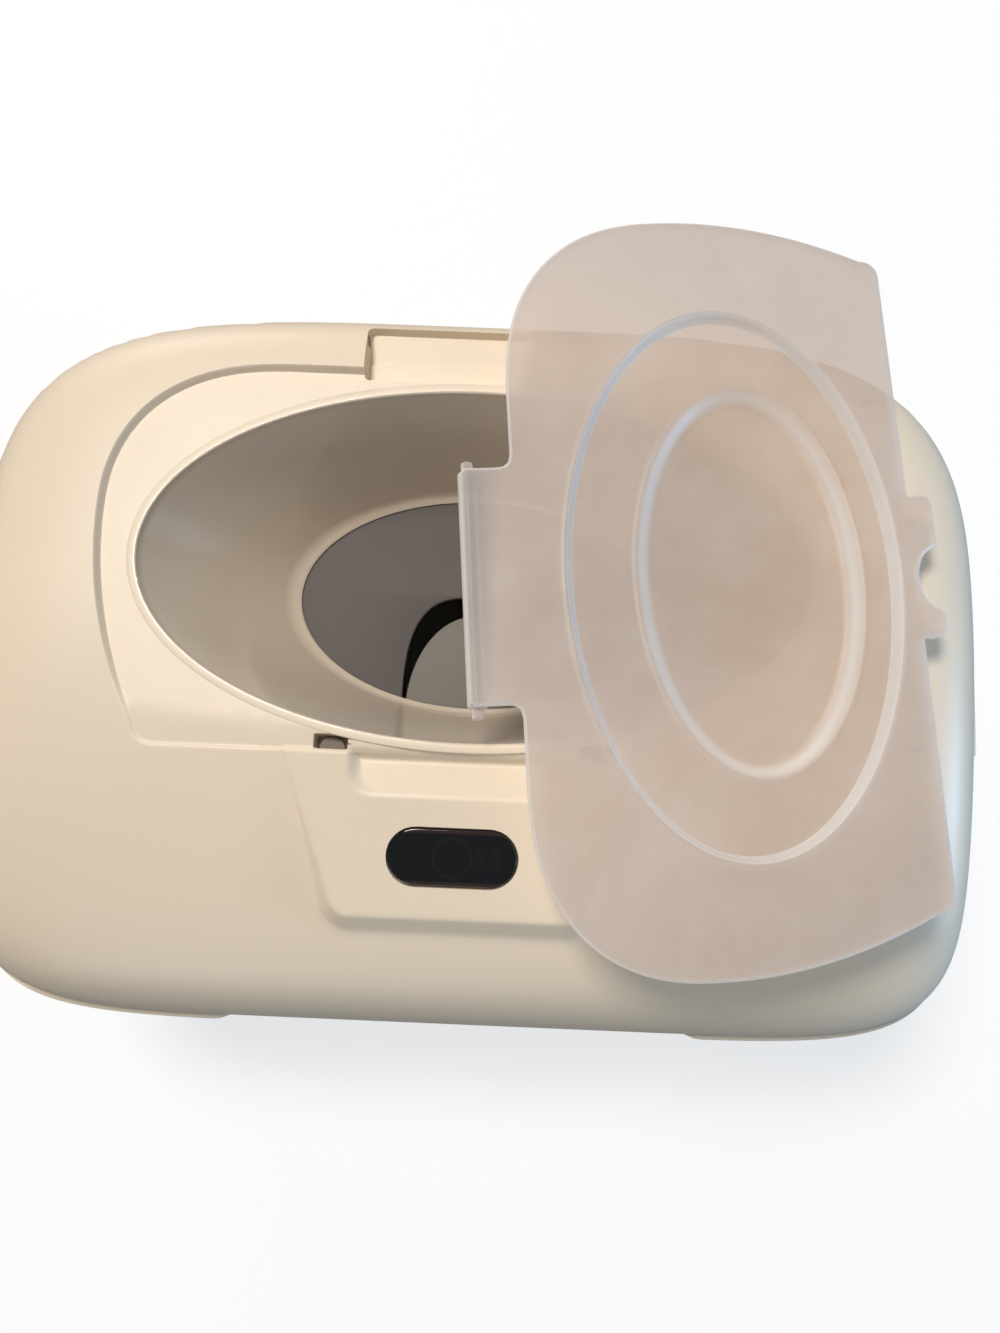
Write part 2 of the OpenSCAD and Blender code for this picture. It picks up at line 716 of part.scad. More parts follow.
module temperature_sensor() {
    color([0.15, 0.15, 0.16])
    translate([sensor_x - 4, sensor_y - 2.5, foam_z])
    union() {
        cube([8, 5, 2]);
        translate([4, 2.5, 0]) cylinder(r = 2, h = 3);
    }
}

module thermal_fuse() {
    color([0.75, 0.76, 0.78])
    translate([fuse_x, sensor_y, foam_z + fuse_r])
    rotate([0, 90, 0])
    union() {
        cylinder(r = fuse_r, h = 10, center = true);
        cylinder(r = 0.5, h = 16, center = true);
    }
}

module control_board() {
    color([0.10, 0.42, 0.22])
    difference() {
        translate([board_x - board_w / 2, board_y - board_d / 2, board_z]) cube([board_w, board_d, board_t]);
        for (p = board_spots) {
            translate([p[0], p[1], board_z - cut]) cylinder(r = screw_r + gap, h = board_t + 2 * cut);
        }
    }
}

module control_chip() {
    color([0.12, 0.12, 0.13])
    translate([board_x + 8, board_y + 2, board_z - 1.6])
    union() {
        cube([10, 7, 1.6]);
        translate([1, -1, 0.8]) cube([8, 9, 0.8]);
    }
}

module buzzer() {
    color([0.10, 0.10, 0.11])
    translate([board_x - 14, board_y + 4, board_z - 5])
    difference() {
        cylinder(r = 4.5, h = 5);
        translate([0, 0, -cut]) cylinder(r = 1, h = 3);
    }
}

module led_module() {
    color([0.92, 0.92, 0.90])
    for (x = [-8.5, 8.5]) {
        translate([board_x + x - 3.2, board_y - 4, board_top]) cube([6.4, 8, led_h]);
    }
}

module touch_contact() {
    color([0.80, 0.66, 0.30])
    difference() {
        translate([board_x, board_y, board_top]) cylinder(r = 3, h = seat_z - board_top);
        at_window() translate([-10, -10, -window_t]) cube([20, 20, 20]);
    }
}

module display_window() {
    color([0.03, 0.03, 0.04])
    at_window()
    translate([0, 0, -window_t])
    linear_extrude(window_t)
    stadium(window_w - 2 * fit, window_h - 2 * fit);
}

module power_socket() {
    color([0.12, 0.12, 0.13])
    translate([jack_x, 0, jack_z])
    union() {
        difference() {
            union() {
                along_y(jack_r, jack_rear, jack_face);
                along_y(jack_r + 1.5, jack_face, jack_face + jack_flange);
            }
            along_y(jack_bore, jack_face - 9, jack_face + jack_flange + cut);
        }
        along_y(jack_pin, jack_face - 9, jack_face);
    }
}

module socket_nut() {
    color([0.72, 0.72, 0.70])
    translate([jack_x, 0, jack_z])
    difference() {
        translate([0, nut_back, 0]) rotate([90, 0, 0]) cylinder(r = nut_r, h = 3, $fn = 6);
        along_y(jack_r, jack_rear, jack_face);
    }
}

// A lead through a list of places, with a round bend at each
module lead(places) {
    union() {
        for (i = [0:len(places) - 2]) {
            a = places[i];
            d = places[i + 1] - a;
            translate(a)
            rotate([0, acos(d[2] / norm(d)), atan2(d[1], d[0])])
            cylinder(r = lead_r, h = norm(d));
        }
        for (i = [1:len(places) - 2]) translate(places[i]) sphere(r = lead_r);
    }
}

module power_lead() {
    mid = board_z + board_t / 2;
    turn_y = jack_rear - 6;
    lead_y = board_y - 4;
    color([0.20, 0.20, 0.22])
    lead([[jack_x, jack_rear, jack_z], [jack_x, turn_y, jack_z], [jack_x, turn_y, mid], [lead_x, turn_y, mid],
          [lead_x, lead_y, mid], [board_x + board_w / 2, lead_y, mid]]);
}

module heater_lead() {
    mid = board_z + board_t / 2;
    color([0.78, 0.12, 0.10])
    lead([[film_lead[0], film_lead[1], foam_z], [film_lead[0], film_lead[1], mid],
          [board_x - board_w / 2, film_lead[1], mid]]);
}

// A pan head screw that stands up from z, head down
module screw(h) {
    union() {
        difference() {
            cylinder(r = head_r, h = head_h);
            translate([-head_r + 0.8, -0.4, -cut]) cube([2 * head_r - 1.6, 0.8, cut + 0.9]);
            translate([-0.4, -head_r + 0.8, -cut]) cube([0.8, 2 * head_r - 1.6, cut + 0.9]);
        }
        translate([0, 0, head_h]) cylinder(r = screw_r - fit, h = h);
    }
}

module liner_screws() {
    color([0.66, 0.67, 0.69])
    for (p = screw_spots) translate([p[0], p[1], pad_top - liner_t - head_h]) screw(liner_t + screw_len - cut);
}

module board_screws() {
    color([0.66, 0.67, 0.69])
    for (p = board_spots) translate([p[0], p[1], board_z - head_h]) screw(board_t + board_screw_len - cut);
}

module catch_posts() {
    color([0.55, 0.50, 0.42])
    for (x = [-slot_x, slot_x]) translate([x, catch_y, catch_z]) cylinder(r = catch_r - fit, h = catch_top - catch_z);
}

// The right latch button; the left one is its mirror image
module latch_button() {
    face = side_x(latch_z) + latch_out;
    back = latch_stop - latch_flange;
    color(pearl)
    union() {
        translate([back, latch_y - latch_w / 2, latch_z - latch_h / 2]) cube([face - back, latch_w, latch_h]);
        translate([back, latch_y - latch_w / 2 - latch_rim, flange_top + gap])
        cube([latch_flange, latch_w + 2 * latch_rim, latch_z + latch_h / 2 + latch_rim - flange_top - gap]);
        translate([back, latch_y - leg_half, part_z + tub_t + gap])
        cube([latch_flange, 2 * leg_half, latch_z - part_z - tub_t - gap]);
        translate([back, latch_y - leg_half, part_z + tub_t + gap]) cube([latch_flange + 0.8, 2 * leg_half, 1.5]);
        translate([back - 3, latch_y, latch_z]) rotate([0, 90, 0]) cylinder(r = latch_bore - 2 * fit, h = 4);
    }
}

module right_latch_button() {
    latch_button();
}

module left_latch_button() {
    mirror([1, 0, 0]) latch_button();
}

module latch_spring() {
    color([0.70, 0.71, 0.73])
    translate([rib_x, latch_y, latch_z])
    rotate([0, 90, 0])
    difference() {
        cylinder(r = spring_r, h = spring_len);
        translate([0, 0, -cut]) cylinder(r = latch_bore, h = spring_len + 2 * cut);
    }
}

module right_latch_spring() {
    latch_spring();
}

module left_latch_spring() {
    mirror([1, 0, 0]) latch_spring();
}

module at_lid() {
    translate([lid_x, lid_y, lid_z]) rotate([lean_back, lean_right, 0]) rotate([0, 0, lid_turn]) children();
}

module flip_lid() {
    inner = [dish_a - dish_draft, dish_b - dish_draft];
    barrel_y = pin_y - lid_mid_y;
    barrel_z = pin_z - seat_z - lid_t;
    lid_front = seat_front + lid_gap - lid_mid_y;
    color(frost)
    at_lid()
    difference() {
        union() {
            translate([0, -lid_mid_y, -lid_t]) linear_extrude(lid_t) polygon(seat_outline(lid_gap));
            loft([ellipse(inner[0] + step_draft, inner[1] + step_draft, dish_y, -dish_depth - lid_t),
                  ellipse(dish_a + step_draft, dish_b + step_draft, dish_y, -step_depth - lid_t),
                  ellipse(step_a, step_b, step_y, -step_depth - lid_t),
                  ellipse(step_a + step_draft, step_b + step_draft, step_y, -lid_t / 2)]);
            // Hinge tab, its barrel and the two nubs
            translate([-pocket_half + gap, seat_back - lid_mid_y - 3, -lid_t])
            cube([2 * (pocket_half - gap), barrel_y + barrel_r - seat_back + lid_mid_y + 3, lid_t]);
            translate([-pocket_half + gap, barrel_y - barrel_r, barrel_z])
            cube([2 * (pocket_half - gap), 2 * barrel_r, -lid_t - barrel_z + fit]);
            translate([-pocket_half + gap, barrel_y, barrel_z])
            rotate([0, 90, 0])
            cylinder(r = barrel_r, h = 2 * (pocket_half - gap));
            translate([-pocket_half - nub_len, barrel_y, barrel_z])
            rotate([0, 90, 0])
            cylinder(r = nub_r, h = 2 * (pocket_half + nub_len));
            // Press tab with a notch, and a lip that turns down
            translate([-tab_half, lid_front - tab_out, -lid_t])
            difference() {
                cube([2 * tab_half, tab_out + 3, lid_t]);
                translate([notch_x, 0, -cut]) cylinder(r = notch_r, h = lid_t + 2 * cut);
            }
            // Catch ribs under the front edge
            for (s = [-1, 1]) {
                translate([s * (tab_half + rib_end) / 2, lid_front + 0.9, -lid_t - rib_h / 2])
                cube([rib_end - tab_half, 1.2, rib_h + fit], center = true);
                translate([s * (rib_end - 0.6), lid_front + 4, -lid_t - rib_h / 2])
                cube([1.2, 7, rib_h + fit], center = true);
            }
        }
        loft([ellipse(inner[0], inner[1], dish_y, -dish_depth), ellipse(dish_a, dish_b, dish_y, -step_depth),
              ellipse(step_a - step_draft, step_b - step_draft, step_y, -step_depth),
              ellipse(step_a, step_b, step_y, cut)]);
    }
}

base_shell();
rubber_feet();
wipe_tub();
cover_shell();
funnel();
dispensing_plate();
liner_pan();
liner_seal();
heat_spreader();
heater_film();
insulation_foam();
temperature_sensor();
thermal_fuse();
control_board();
control_chip();
buzzer();
led_module();
touch_contact();
display_window();
power_socket();
socket_nut();
power_lead();
heater_lead();
liner_screws();
board_screws();
catch_posts();
left_latch_button();
right_latch_button();
left_latch_spring();
right_latch_spring();
flip_lid();
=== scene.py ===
import math
from functools import partial

import bmesh
import bpy
import numpy as np
from mathutils import Euler, Matrix, Vector
from mathutils.geometry import delaunay_2d_cdt


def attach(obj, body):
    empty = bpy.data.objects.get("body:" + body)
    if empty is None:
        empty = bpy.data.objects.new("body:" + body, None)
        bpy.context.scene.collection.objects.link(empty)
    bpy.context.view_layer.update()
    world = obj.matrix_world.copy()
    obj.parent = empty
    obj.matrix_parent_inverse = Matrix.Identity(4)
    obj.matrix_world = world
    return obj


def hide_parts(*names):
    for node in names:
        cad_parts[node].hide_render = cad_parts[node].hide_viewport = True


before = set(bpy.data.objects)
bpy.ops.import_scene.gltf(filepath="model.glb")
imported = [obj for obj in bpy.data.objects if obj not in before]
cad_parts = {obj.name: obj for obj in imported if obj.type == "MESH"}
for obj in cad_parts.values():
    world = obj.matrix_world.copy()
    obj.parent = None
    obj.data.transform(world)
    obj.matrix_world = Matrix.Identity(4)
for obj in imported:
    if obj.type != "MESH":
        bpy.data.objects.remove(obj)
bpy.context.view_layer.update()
MM = 0.001

# Sizes repeated from the part's source, in millimetres
HALF_W, HALF_D, WIDE_FRONT = 117.0, 82.5, 4.0
PART_Z, FOOT, FOOT_DRAW, SEAT_Z, CROWN, WALL = 92.0, 92.2, -0.7, 132.0, 135.0, 2.5
FRONT_FALL, FALL_START, SIDE_CROWN = 23.5, 15.0, 0.0001
FRONT_POWER, BACK_POWER, EDGE_POWER, EDGE_ROOT, FRONT_ROOT = 7.1, 4.15, 13.0, 2.6, 1.3
BOX_INSET, BOX_LEAN, RIM_OUT, RIM_T, NOTCH_HALF = 3.0, 8.0, 1.3, 1.6, 50.0
TUB_INSET, TUB_LEAN, TUB_T = 18.0, 6.0, 2.0
SEAT_FRONT, SEAT_BACK, SEAT_STEP = -21.4, 62.5, 0.4
SEAT_HALF, SEAT_BOW, SEAT_WIDE, SEAT_CORNER = 81.1, 0.0055, 27, 4.5
ARC_X, ARC_A, ARC_B, ARC_POWER = 41, 40.1, 35.5, 2.4
POCKET_HALF, POCKET_FRONT, POCKET_BACK, POCKET_Z = 25.4, 61.4, 73.8, 127.8
LEDGE_Y, LEDGE_H, LEDGE_SOFT = 66.2, 0.8, 0.4
RECESS_HALF, RECESS_FRONT, RECESS_BACK, RECESS_Z = 23.2, -30.6, -21.6, 128.0
PANEL_BACK, PANEL_TIP, PANEL_FRONT, PANEL_SLOPE = 38.0, 26.0, -55.6, math.radians(9)
WINDOW = (-1.5, -42.8)
WINDOW_W, WINDOW_H, WINDOW_T = 27.4, 12.0, 1.6
MOUTH_A, MOUTH_B, MOUTH_Y = 72.8, 38.8, 20.0
THROAT_A, THROAT_B, THROAT_Y, THROAT_Z = 44.6, 27.3, 19.2, 94.3
HOLE_A, HOLE_B, FUNNEL_T, LIP_OVER = 74.4, 40.4, 1.5, 0.6
PLATE_Z, PLATE_T, PLATE_OVER = 92.5, 1.8, 4.3
TONGUE_HALF, TONGUE_ROOT, TONGUE_REACH, CRESCENT_REACH = 16.5, -8.3, 24.5, 29.1
SLOT_X, SLOT_Y, SLOT_W, SLOT_D, SLOT_Z = 28.1, -19.56, 6.6, 2.5, 126.4
PIN_Y, PIN_Z, BARREL_R, NUB_R, PIN_HOLE_R, PIN_HOLE_X = 70.9, 130.3, 2.1, 1.3, 1.4, 28.0
LATCH_Y, LATCH_Z, LATCH_W, LATCH_H, LATCH_GAP = -4.2, 103.0, 21.0, 9.0, 0.3
JACK_X, JACK_Z = 60, 107
LID_T, LID_MID, LID_GAP = 1.8, 23.3, 0.6
STEP = (58.6, 34.6, -6.3, 2.8)
DISH = (42.0, 23.6, -10.4, 6.2)
LID_AT = (48.0, 16.8, 142.8)
LID_LEAN, LID_TURN = (-2.0, 1.5), 95.1
CENTRE = np.array([0.0, -WIDE_FRONT])
CORNERS = ((-1, -1), (1, -1), (1, 1), (-1, 1))
PLAN_COUNT = 420


# Outlines and heights
def power(v, n):
    return np.sign(v) * np.abs(v) ** n


def ease(t):
    t = np.clip(t, 0, 1)
    return t * t * (3 - 2 * t)


def resample(loop, count):
    """The same closed outline with evenly spaced points."""
    ring = np.vstack([loop, loop[:1]])
    run = np.r_[0, np.cumsum(np.hypot(*np.diff(ring, axis=0).T))]
    at = np.linspace(0, run[-1], count, endpoint=False)
    return np.stack([np.interp(at, run, ring[:, 0]), np.interp(at, run, ring[:, 1])], -1)


def plan_loop(inset):
    """The body's outline on the plan, drawn in by an inset."""
    t = np.linspace(0, 2 * np.pi, 4000, endpoint=False)
    n = np.where(t <= np.pi, BACK_POWER, FRONT_POWER)
    depth = np.where(t <= np.pi, HALF_D + WIDE_FRONT, HALF_D - WIDE_FRONT) - inset
    loop = np.stack([(HALF_W - inset) * power(np.cos(t), 2 / n), -WIDE_FRONT + depth * power(np.sin(t), 2 / n)], -1)
    return resample(loop, PLAN_COUNT)


def plan_share(p, inset=0.0):
    """How far out a point lies, where 1 is on the outline."""
    x, y = np.abs(p[:, 0]), p[:, 1] + WIDE_FRONT
    n = np.where(y > 0, BACK_POWER, FRONT_POWER)
    depth = np.where(y > 0, HALF_D + WIDE_FRONT, HALF_D - WIDE_FRONT) - inset
    return ((x / (HALF_W - inset)) ** n + (np.abs(y) / depth) ** n) ** (1 / n)


def crown_z(p):
    x, y = p[:, 0], p[:, 1]
    fall = FRONT_FALL / (FALL_START + HALF_D) ** 2
    return CROWN - SIDE_CROWN * x * x - np.where(y < FALL_START, fall * (FALL_START - y) ** 2, 0)


def edge_root(p, share, inset=0.0):
    """The root of the edge's curve: a smaller one makes the front edge rounder than the others."""
    ahead = -(p[:, 1] + WIDE_FRONT) / np.maximum(share * (HALF_D - WIDE_FRONT - inset), 1e-6)
    return EDGE_ROOT + (FRONT_ROOT - EDGE_ROOT) * np.clip(ahead, 0, 1) ** 3


def dome(p, inset=0.0):
    share = np.minimum(plan_share(p, inset), 1)
    return FOOT + (crown_z(p) - inset - FOOT) * (1 - share ** EDGE_POWER) ** (1 / edge_root(p, share, inset))


def oval(a, b, y, count):
    t = np.linspace(0, 2 * np.pi, 1200, endpoint=False)
    return resample(np.stack([a * np.cos(t), y + b * np.sin(t)], -1), count)


def box_loop(x, y, w, h):
    """The corners of a rectangle round a middle."""
    return [(x + sx * w / 2, y + sy * h / 2) for sx, sy in CORNERS]


def rounded(points, radii, step=0.7):
    """A closed outline through points, with each corner rounded to its radius."""
    out = []
    count = len(points)
    for i in range(count):
        a, p, b = (np.array(points[(i + k) % count], float) for k in (-1, 0, 1))
        r = radii[i] if hasattr(radii, "__len__") else radii
        u, v = (a - p) / np.linalg.norm(a - p), (b - p) / np.linalg.norm(b - p)
        half = math.acos(np.clip(u @ v, -1, 1)) / 2
        if r <= 0 or half > 1.55:
            out.append(p)
            continue
        back = r / math.tan(half)
        s, e = p + u * back, p + v * back
        m = p + (u + v) / np.linalg.norm(u + v) * r / math.sin(half)
        a0, a1 = math.atan2(*(s - m)[::-1]), math.atan2(*(e - m)[::-1])
        turn = (a1 - a0 + math.pi) % (2 * math.pi) - math.pi
        for k in range(9):
            t = a0 + turn * k / 8
            out.append(m + r * np.array([math.cos(t), math.sin(t)]))
    out = np.array(out)
    run = np.hypot(*np.diff(np.vstack([out, out[:1]]), axis=0).T)
    dense = []
    for p, q, gap in zip(out, np.roll(out, -1, 0), run):
        for k in range(max(1, math.ceil(gap / step))):
            dense.append(p + (q - p) * k / max(1, math.ceil(gap / step)))
    return np.array(dense)


def seat_outline(clear):
    """The lid seat's outline: front corners, bowed sides and one wide arc at the back."""
    def side(y):
        return SEAT_HALF - SEAT_BOW * (SEAT_WIDE - y) ** 2
    half = []
    corner_y = SEAT_FRONT + SEAT_CORNER
    for t in np.radians(np.arange(-90, 1, 7.5)):
        half.append((side(corner_y) - SEAT_CORNER + (SEAT_CORNER - clear) * math.cos(t),
                     corner_y + (SEAT_CORNER - clear) * math.sin(t)))
    for y in np.arange(SEAT_FRONT + 6, SEAT_WIDE - 1, 1.5):
        half.append((side(y) - clear, y))
    for t in np.radians(np.arange(0, 90.1, 1.5)):
        half.append((ARC_X + (ARC_A - clear) * power(math.cos(t), 2 / ARC_POWER),
                     SEAT_WIDE + (ARC_B - clear) * power(math.sin(t), 2 / ARC_POWER)))
    half = np.array(half)
    return np.vstack([half, half[::-1] * (-1, 1)])


def distance(p, loop):
    """Distance from each point to a closed outline, negative inside it."""
    best = np.full(len(p), 1e9)
    inside = np.zeros(len(p), bool)
    for a, b in zip(loop, np.roll(loop, -1, 0)):
        d = b - a
        w = p - a
        t = np.clip((w @ d) / max(d @ d, 1e-12), 0, 1)
        best = np.minimum(best, (w[:, 0] - t * d[0]) ** 2 + (w[:, 1] - t * d[1]) ** 2)
        if a[1] != b[1]:
            inside ^= ((a[1] > p[:, 1]) != (b[1] > p[:, 1])) & (w[:, 0] < d[0] * w[:, 1] / d[1])
    return np.where(inside, -np.sqrt(best), np.sqrt(best))


def offset(loop, d):
    """The outline moved out by d along its normals; the outline runs anticlockwise."""
    ahead = np.roll(loop, -1, 0) - np.roll(loop, 1, 0)
    normal = np.stack([ahead[:, 1], -ahead[:, 0]], -1)
    return loop + d * normal / np.maximum(np.hypot(*normal.T), 1e-9)[:, None]


def panel_z(y):
    return SEAT_Z + (y - SEAT_FRONT) * math.tan(PANEL_SLOPE)


# Mesh building
def sheet(edge, holes, rows, spacing, lines=()):
    """Triangles over a closed outline, with rows of points along each feature."""
    points, links = [], []

    def add(loop, closed=True):
        first = len(points)
        points.extend(map(tuple, loop))
        links.extend((first + i, first + (i + 1) % len(loop)) for i in range(len(loop) - (0 if closed else 1)))
        return first

    add(edge)
    for hole in holes:
        add(hole)
    reach = []
    for loop, steps in rows:
        for d in steps:
            ring = offset(loop, d)
            ring = ring[distance(ring, edge) < -0.4] if len(ring) else ring
            keep = np.ones(len(ring), bool)
            for hole in holes:
                keep &= distance(ring, hole) > 0.3
            first = len(points)
            points.extend(map(tuple, ring[keep]))
            if keep.all() and len(ring) == len(loop):
                links.extend((first + i, first + (i + 1) % len(ring)) for i in range(len(ring)))
        reach.append((loop, min(steps), max(steps)))
    for line in lines:
        add(np.array(line, float), False)
    low, high = edge.min(0), edge.max(0)
    gx, gy = np.meshgrid(np.arange(low[0], high[0], spacing), np.arange(low[1], high[1], spacing * 0.87))
    gx[::2] += spacing / 2
    grid = np.stack([gx.ravel(), gy.ravel()], -1)
    keep = distance(grid, edge) < -spacing * 0.6
    for hole in holes:
        keep &= distance(grid, hole) > spacing * 0.5
    for loop, near, far in reach:
        d = distance(grid, loop)
        keep &= (d < near - spacing * 0.4) | (d > far + spacing * 0.4)
    points.extend(map(tuple, grid[keep]))
    out = delaunay_2d_cdt([Vector(p) for p in points], links, [], 0, 1e-5)
    xy = np.array([tuple(v) for v in out[0]])
    place = {}
    for i, sources in enumerate(out[3]):
        for s in sources:
            place[s] = i
    tris = np.array([f for f in out[2] if len(f) == 3])
    mid = xy[tris].mean(1)
    keep = distance(mid, edge) < 0
    for hole in holes:
        keep &= distance(mid, hole) > 0
    tris = tris[keep]
    area = np.cross(xy[tris[:, 1]] - xy[tris[:, 0]], xy[tris[:, 2]] - xy[tris[:, 0]])
    tris[area < 0] = tris[area < 0][:, ::-1]
    return xy, tris, place


def border(tris):
    """Directed edges that only one triangle has."""
    seen = set()
    for a, b, c in tris:
        seen.update(((a, b), (b, c), (c, a)))
    return [(a, b) for a, b in seen if (b, a) not in seen]


def piece(name, verts, faces, material, sharp=35, body=None, slot=None):
    mesh = bpy.data.meshes.new(name)
    mesh.from_pydata([tuple(v) for v in np.asarray(verts, float) * MM], [], [tuple(int(i) for i in f) for f in faces])
    mesh.validate()
    obj = bpy.data.objects.new(name, mesh)
    bpy.context.scene.collection.objects.link(obj)
    tidy(obj, sharp)
    if material:
        mesh.materials.append(material)
    if body:
        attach(obj, body)
    return obj


def tidy(obj, sharp=35):
    bm = bmesh.new()
    bm.from_mesh(obj.data)
    loose = [v for v in bm.verts if not v.link_faces]
    bmesh.ops.delete(bm, geom=loose, context="VERTS")
    bmesh.ops.recalc_face_normals(bm, faces=bm.faces)
    bm.to_mesh(obj.data)
    bm.free()
    obj.data.shade_smooth()
    obj.data.set_sharp_from_angle(angle=math.radians(sharp))


def relief(name, edge, rows, spacing, top, low):
    """A closed solid between two height functions over an outline."""
    xy, tris, _ = sheet(edge, [], rows, spacing)
    n = len(xy)
    verts = np.vstack([np.c_[xy, top(xy)], np.c_[xy, low(xy)]])
    faces = [tuple(t) for t in tris] + [tuple(t[::-1] + n) for t in tris]
    faces += [(b, a, a + n, b + n) for a, b in border(tris)]
    return piece(name, verts, faces, None)


def rings_mesh(rings, caps=True, closed=False):
    """Vertices and faces of a skin through rings of equal count."""
    count = len(rings[0])
    verts = np.vstack(rings)
    faces = []
    last = len(rings) if closed else len(rings) - 1
    for j in range(last):
        k = (j + 1) % len(rings)
        for i in range(count):
            h = (i + 1) % count
            faces.append((j * count + i, j * count + h, k * count + h, k * count + i))
    if caps:
        for j in (0, len(rings) - 1):
            verts = np.vstack([verts, rings[j].mean(0)])
            for i in range(count):
                faces.append((j * count + i, j * count + (i + 1) % count, len(verts) - 1))
    return verts, faces


def flat_ring(loop, z):
    return np.c_[loop, np.full(len(loop), z)]


def prism(loop, z0, z1):
    """A prism whose caps are single faces, for outlines that aren't convex."""
    count = len(loop)
    verts = np.vstack([flat_ring(loop, z0), flat_ring(loop, z1)])
    faces = [tuple(range(count))[::-1], tuple(range(count, 2 * count))]
    faces += [(i, (i + 1) % count, count + (i + 1) % count, count + i) for i in range(count)]
    return verts, faces


def boolean(obj, cutter, operation="DIFFERENCE"):
    mod = obj.modifiers.new("cut", "BOOLEAN")
    mod.operation = operation
    mod.object = cutter
    mod.solver = "EXACT"
    done = bpy.data.meshes.new_from_object(obj.evaluated_get(bpy.context.evaluated_depsgraph_get()))
    obj.modifiers.clear()
    old = obj.data
    done.name = obj.name
    obj.data = done
    bpy.data.meshes.remove(old)
    bpy.data.objects.remove(cutter)


def slab(name, loops, z0, z1, bevel, material, matrix=None):
    """A flat solid with softened edges, from closed outlines; the later ones are holes."""
    curve = bpy.data.curves.new(name, "CURVE")
    curve.dimensions = "2D"
    curve.fill_mode = "BOTH"
    for loop in loops:
        spline = curve.splines.new("POLY")
        spline.points.add(len(loop) - 1)
        for point, p in zip(spline.points, loop):
            point.co = (p[0] * MM, p[1] * MM, 0, 1)
        spline.use_cyclic_u = True
    curve.extrude = max((z1 - z0) / 2 - bevel, 0) * MM
    curve.bevel_depth = bevel * MM
    curve.bevel_resolution = 3
    curve.offset = -bevel * MM
    holder = bpy.data.objects.new(name, curve)
    bpy.context.scene.collection.objects.link(holder)
    mesh = bpy.data.meshes.new_from_object(holder.evaluated_get(bpy.context.evaluated_depsgraph_get()))
    bpy.data.objects.remove(holder)
    mesh.transform(Matrix.Translation((0, 0, (z0 + z1) / 2 * MM)))
    if matrix:
        mesh.transform(matrix)
    mesh.name = name
    mesh.materials.clear()
    obj = bpy.data.objects.new(name, mesh)
    bpy.context.scene.collection.objects.link(obj)
    bm = bmesh.new()
    bm.from_mesh(mesh)
    bmesh.ops.remove_doubles(bm, verts=bm.verts, dist=2e-6)
    bm.to_mesh(mesh)
    bm.free()
    tidy(obj, 40)
    mesh.materials.append(material)
    return obj


def softened(node, width, material):
    """A copy of a CAD node with its edges rounded."""
    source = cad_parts[node]
    mesh = source.data.copy()
    mesh.name = node + "_soft"
    obj = bpy.data.objects.new(node + "_soft", mesh)
    bpy.context.scene.collection.objects.link(obj)
    bm = bmesh.new()
    bm.from_mesh(mesh)
    bmesh.ops.remove_doubles(bm, verts=bm.verts, dist=5e-6)
    bmesh.ops.dissolve_limit(bm, angle_limit=math.radians(2), verts=bm.verts, edges=bm.edges)
    for face in bm.faces:
        face.smooth = True
    bm.to_mesh(mesh)
    bm.free()
    mod = obj.modifiers.new("bevel", "BEVEL")
    mod.width = width * MM
    mod.segments = 3
    mod.limit_method = "ANGLE"
    mod.angle_limit = math.radians(40)
    done = bpy.data.meshes.new_from_object(obj.evaluated_get(bpy.context.evaluated_depsgraph_get()))
    obj.modifiers.clear()
    obj.data = done
    done.name = node + "_soft"
    bpy.data.meshes.remove(mesh)
    if done.has_custom_normals:
        done.attributes.remove(done.attributes["custom_normal"])
    tidy(obj, 40)
    done.materials.clear()
    done.materials.append(material)
    return obj


# Materials
def nodes_of(name):
    mat = bpy.data.materials.new(name)
    mat.use_nodes = True
    tree = mat.node_tree
    shader = tree.nodes["Principled BSDF"]
    coord = tree.nodes.new("ShaderNodeTexCoord")
    return mat, tree, shader, coord


def noise(tree, coord, scale, detail=3.0, rough=0.5):
    tex = tree.nodes.new("ShaderNodeTexNoise")
    tex.inputs["Scale"].default_value = scale
    tex.inputs["Detail"].default_value = detail
    tex.inputs["Roughness"].default_value = rough
    tree.links.new(coord.outputs["Object"], tex.inputs["Vector"])
    return tex


def ramp(tree, source, low, high, at=(0.35, 0.65)):
    node = tree.nodes.new("ShaderNodeValToRGB")
    node.color_ramp.elements[0].position = at[0]
    node.color_ramp.elements[1].position = at[1]
    node.color_ramp.elements[0].color = (*low, 1)
    node.color_ramp.elements[1].color = (*high, 1)
    tree.links.new(source, node.inputs["Fac"])
    return node


def math_node(tree, kind, a, b=None):
    node = tree.nodes.new("ShaderNodeMath")
    node.operation = kind
    for socket, value in zip(node.inputs, (a, b)):
        if isinstance(value, (int, float)):
            socket.default_value = value
        elif value is not None:
            tree.links.new(value, socket)
    return node.outputs[0]


def mixed(tree, factor, base, colour):
    """The base colour turned to another one by a factor."""
    node = tree.nodes.new("ShaderNodeMix")
    node.data_type = "RGBA"
    tree.links.new(factor, node.inputs[0])
    tree.links.new(base, node.inputs[6])
    node.inputs[7].default_value = (*colour, 1)
    return node.outputs[2]


def spread(tree, source, low, high, at=(0.0, 1.0)):
    node = tree.nodes.new("ShaderNodeMapRange")
    node.inputs["From Min"].default_value, node.inputs["From Max"].default_value = at
    node.inputs["To Min"].default_value = low
    node.inputs["To Max"].default_value = high
    tree.links.new(source, node.inputs["Value"])
    return node.outputs["Result"]


def bump(tree, shader, height, strength, depth):
    node = tree.nodes.new("ShaderNodeBump")
    node.inputs["Strength"].default_value = strength
    node.inputs["Distance"].default_value = depth
    tree.links.new(height, node.inputs["Height"])
    tree.links.new(node.outputs["Normal"], shader.inputs["Normal"])


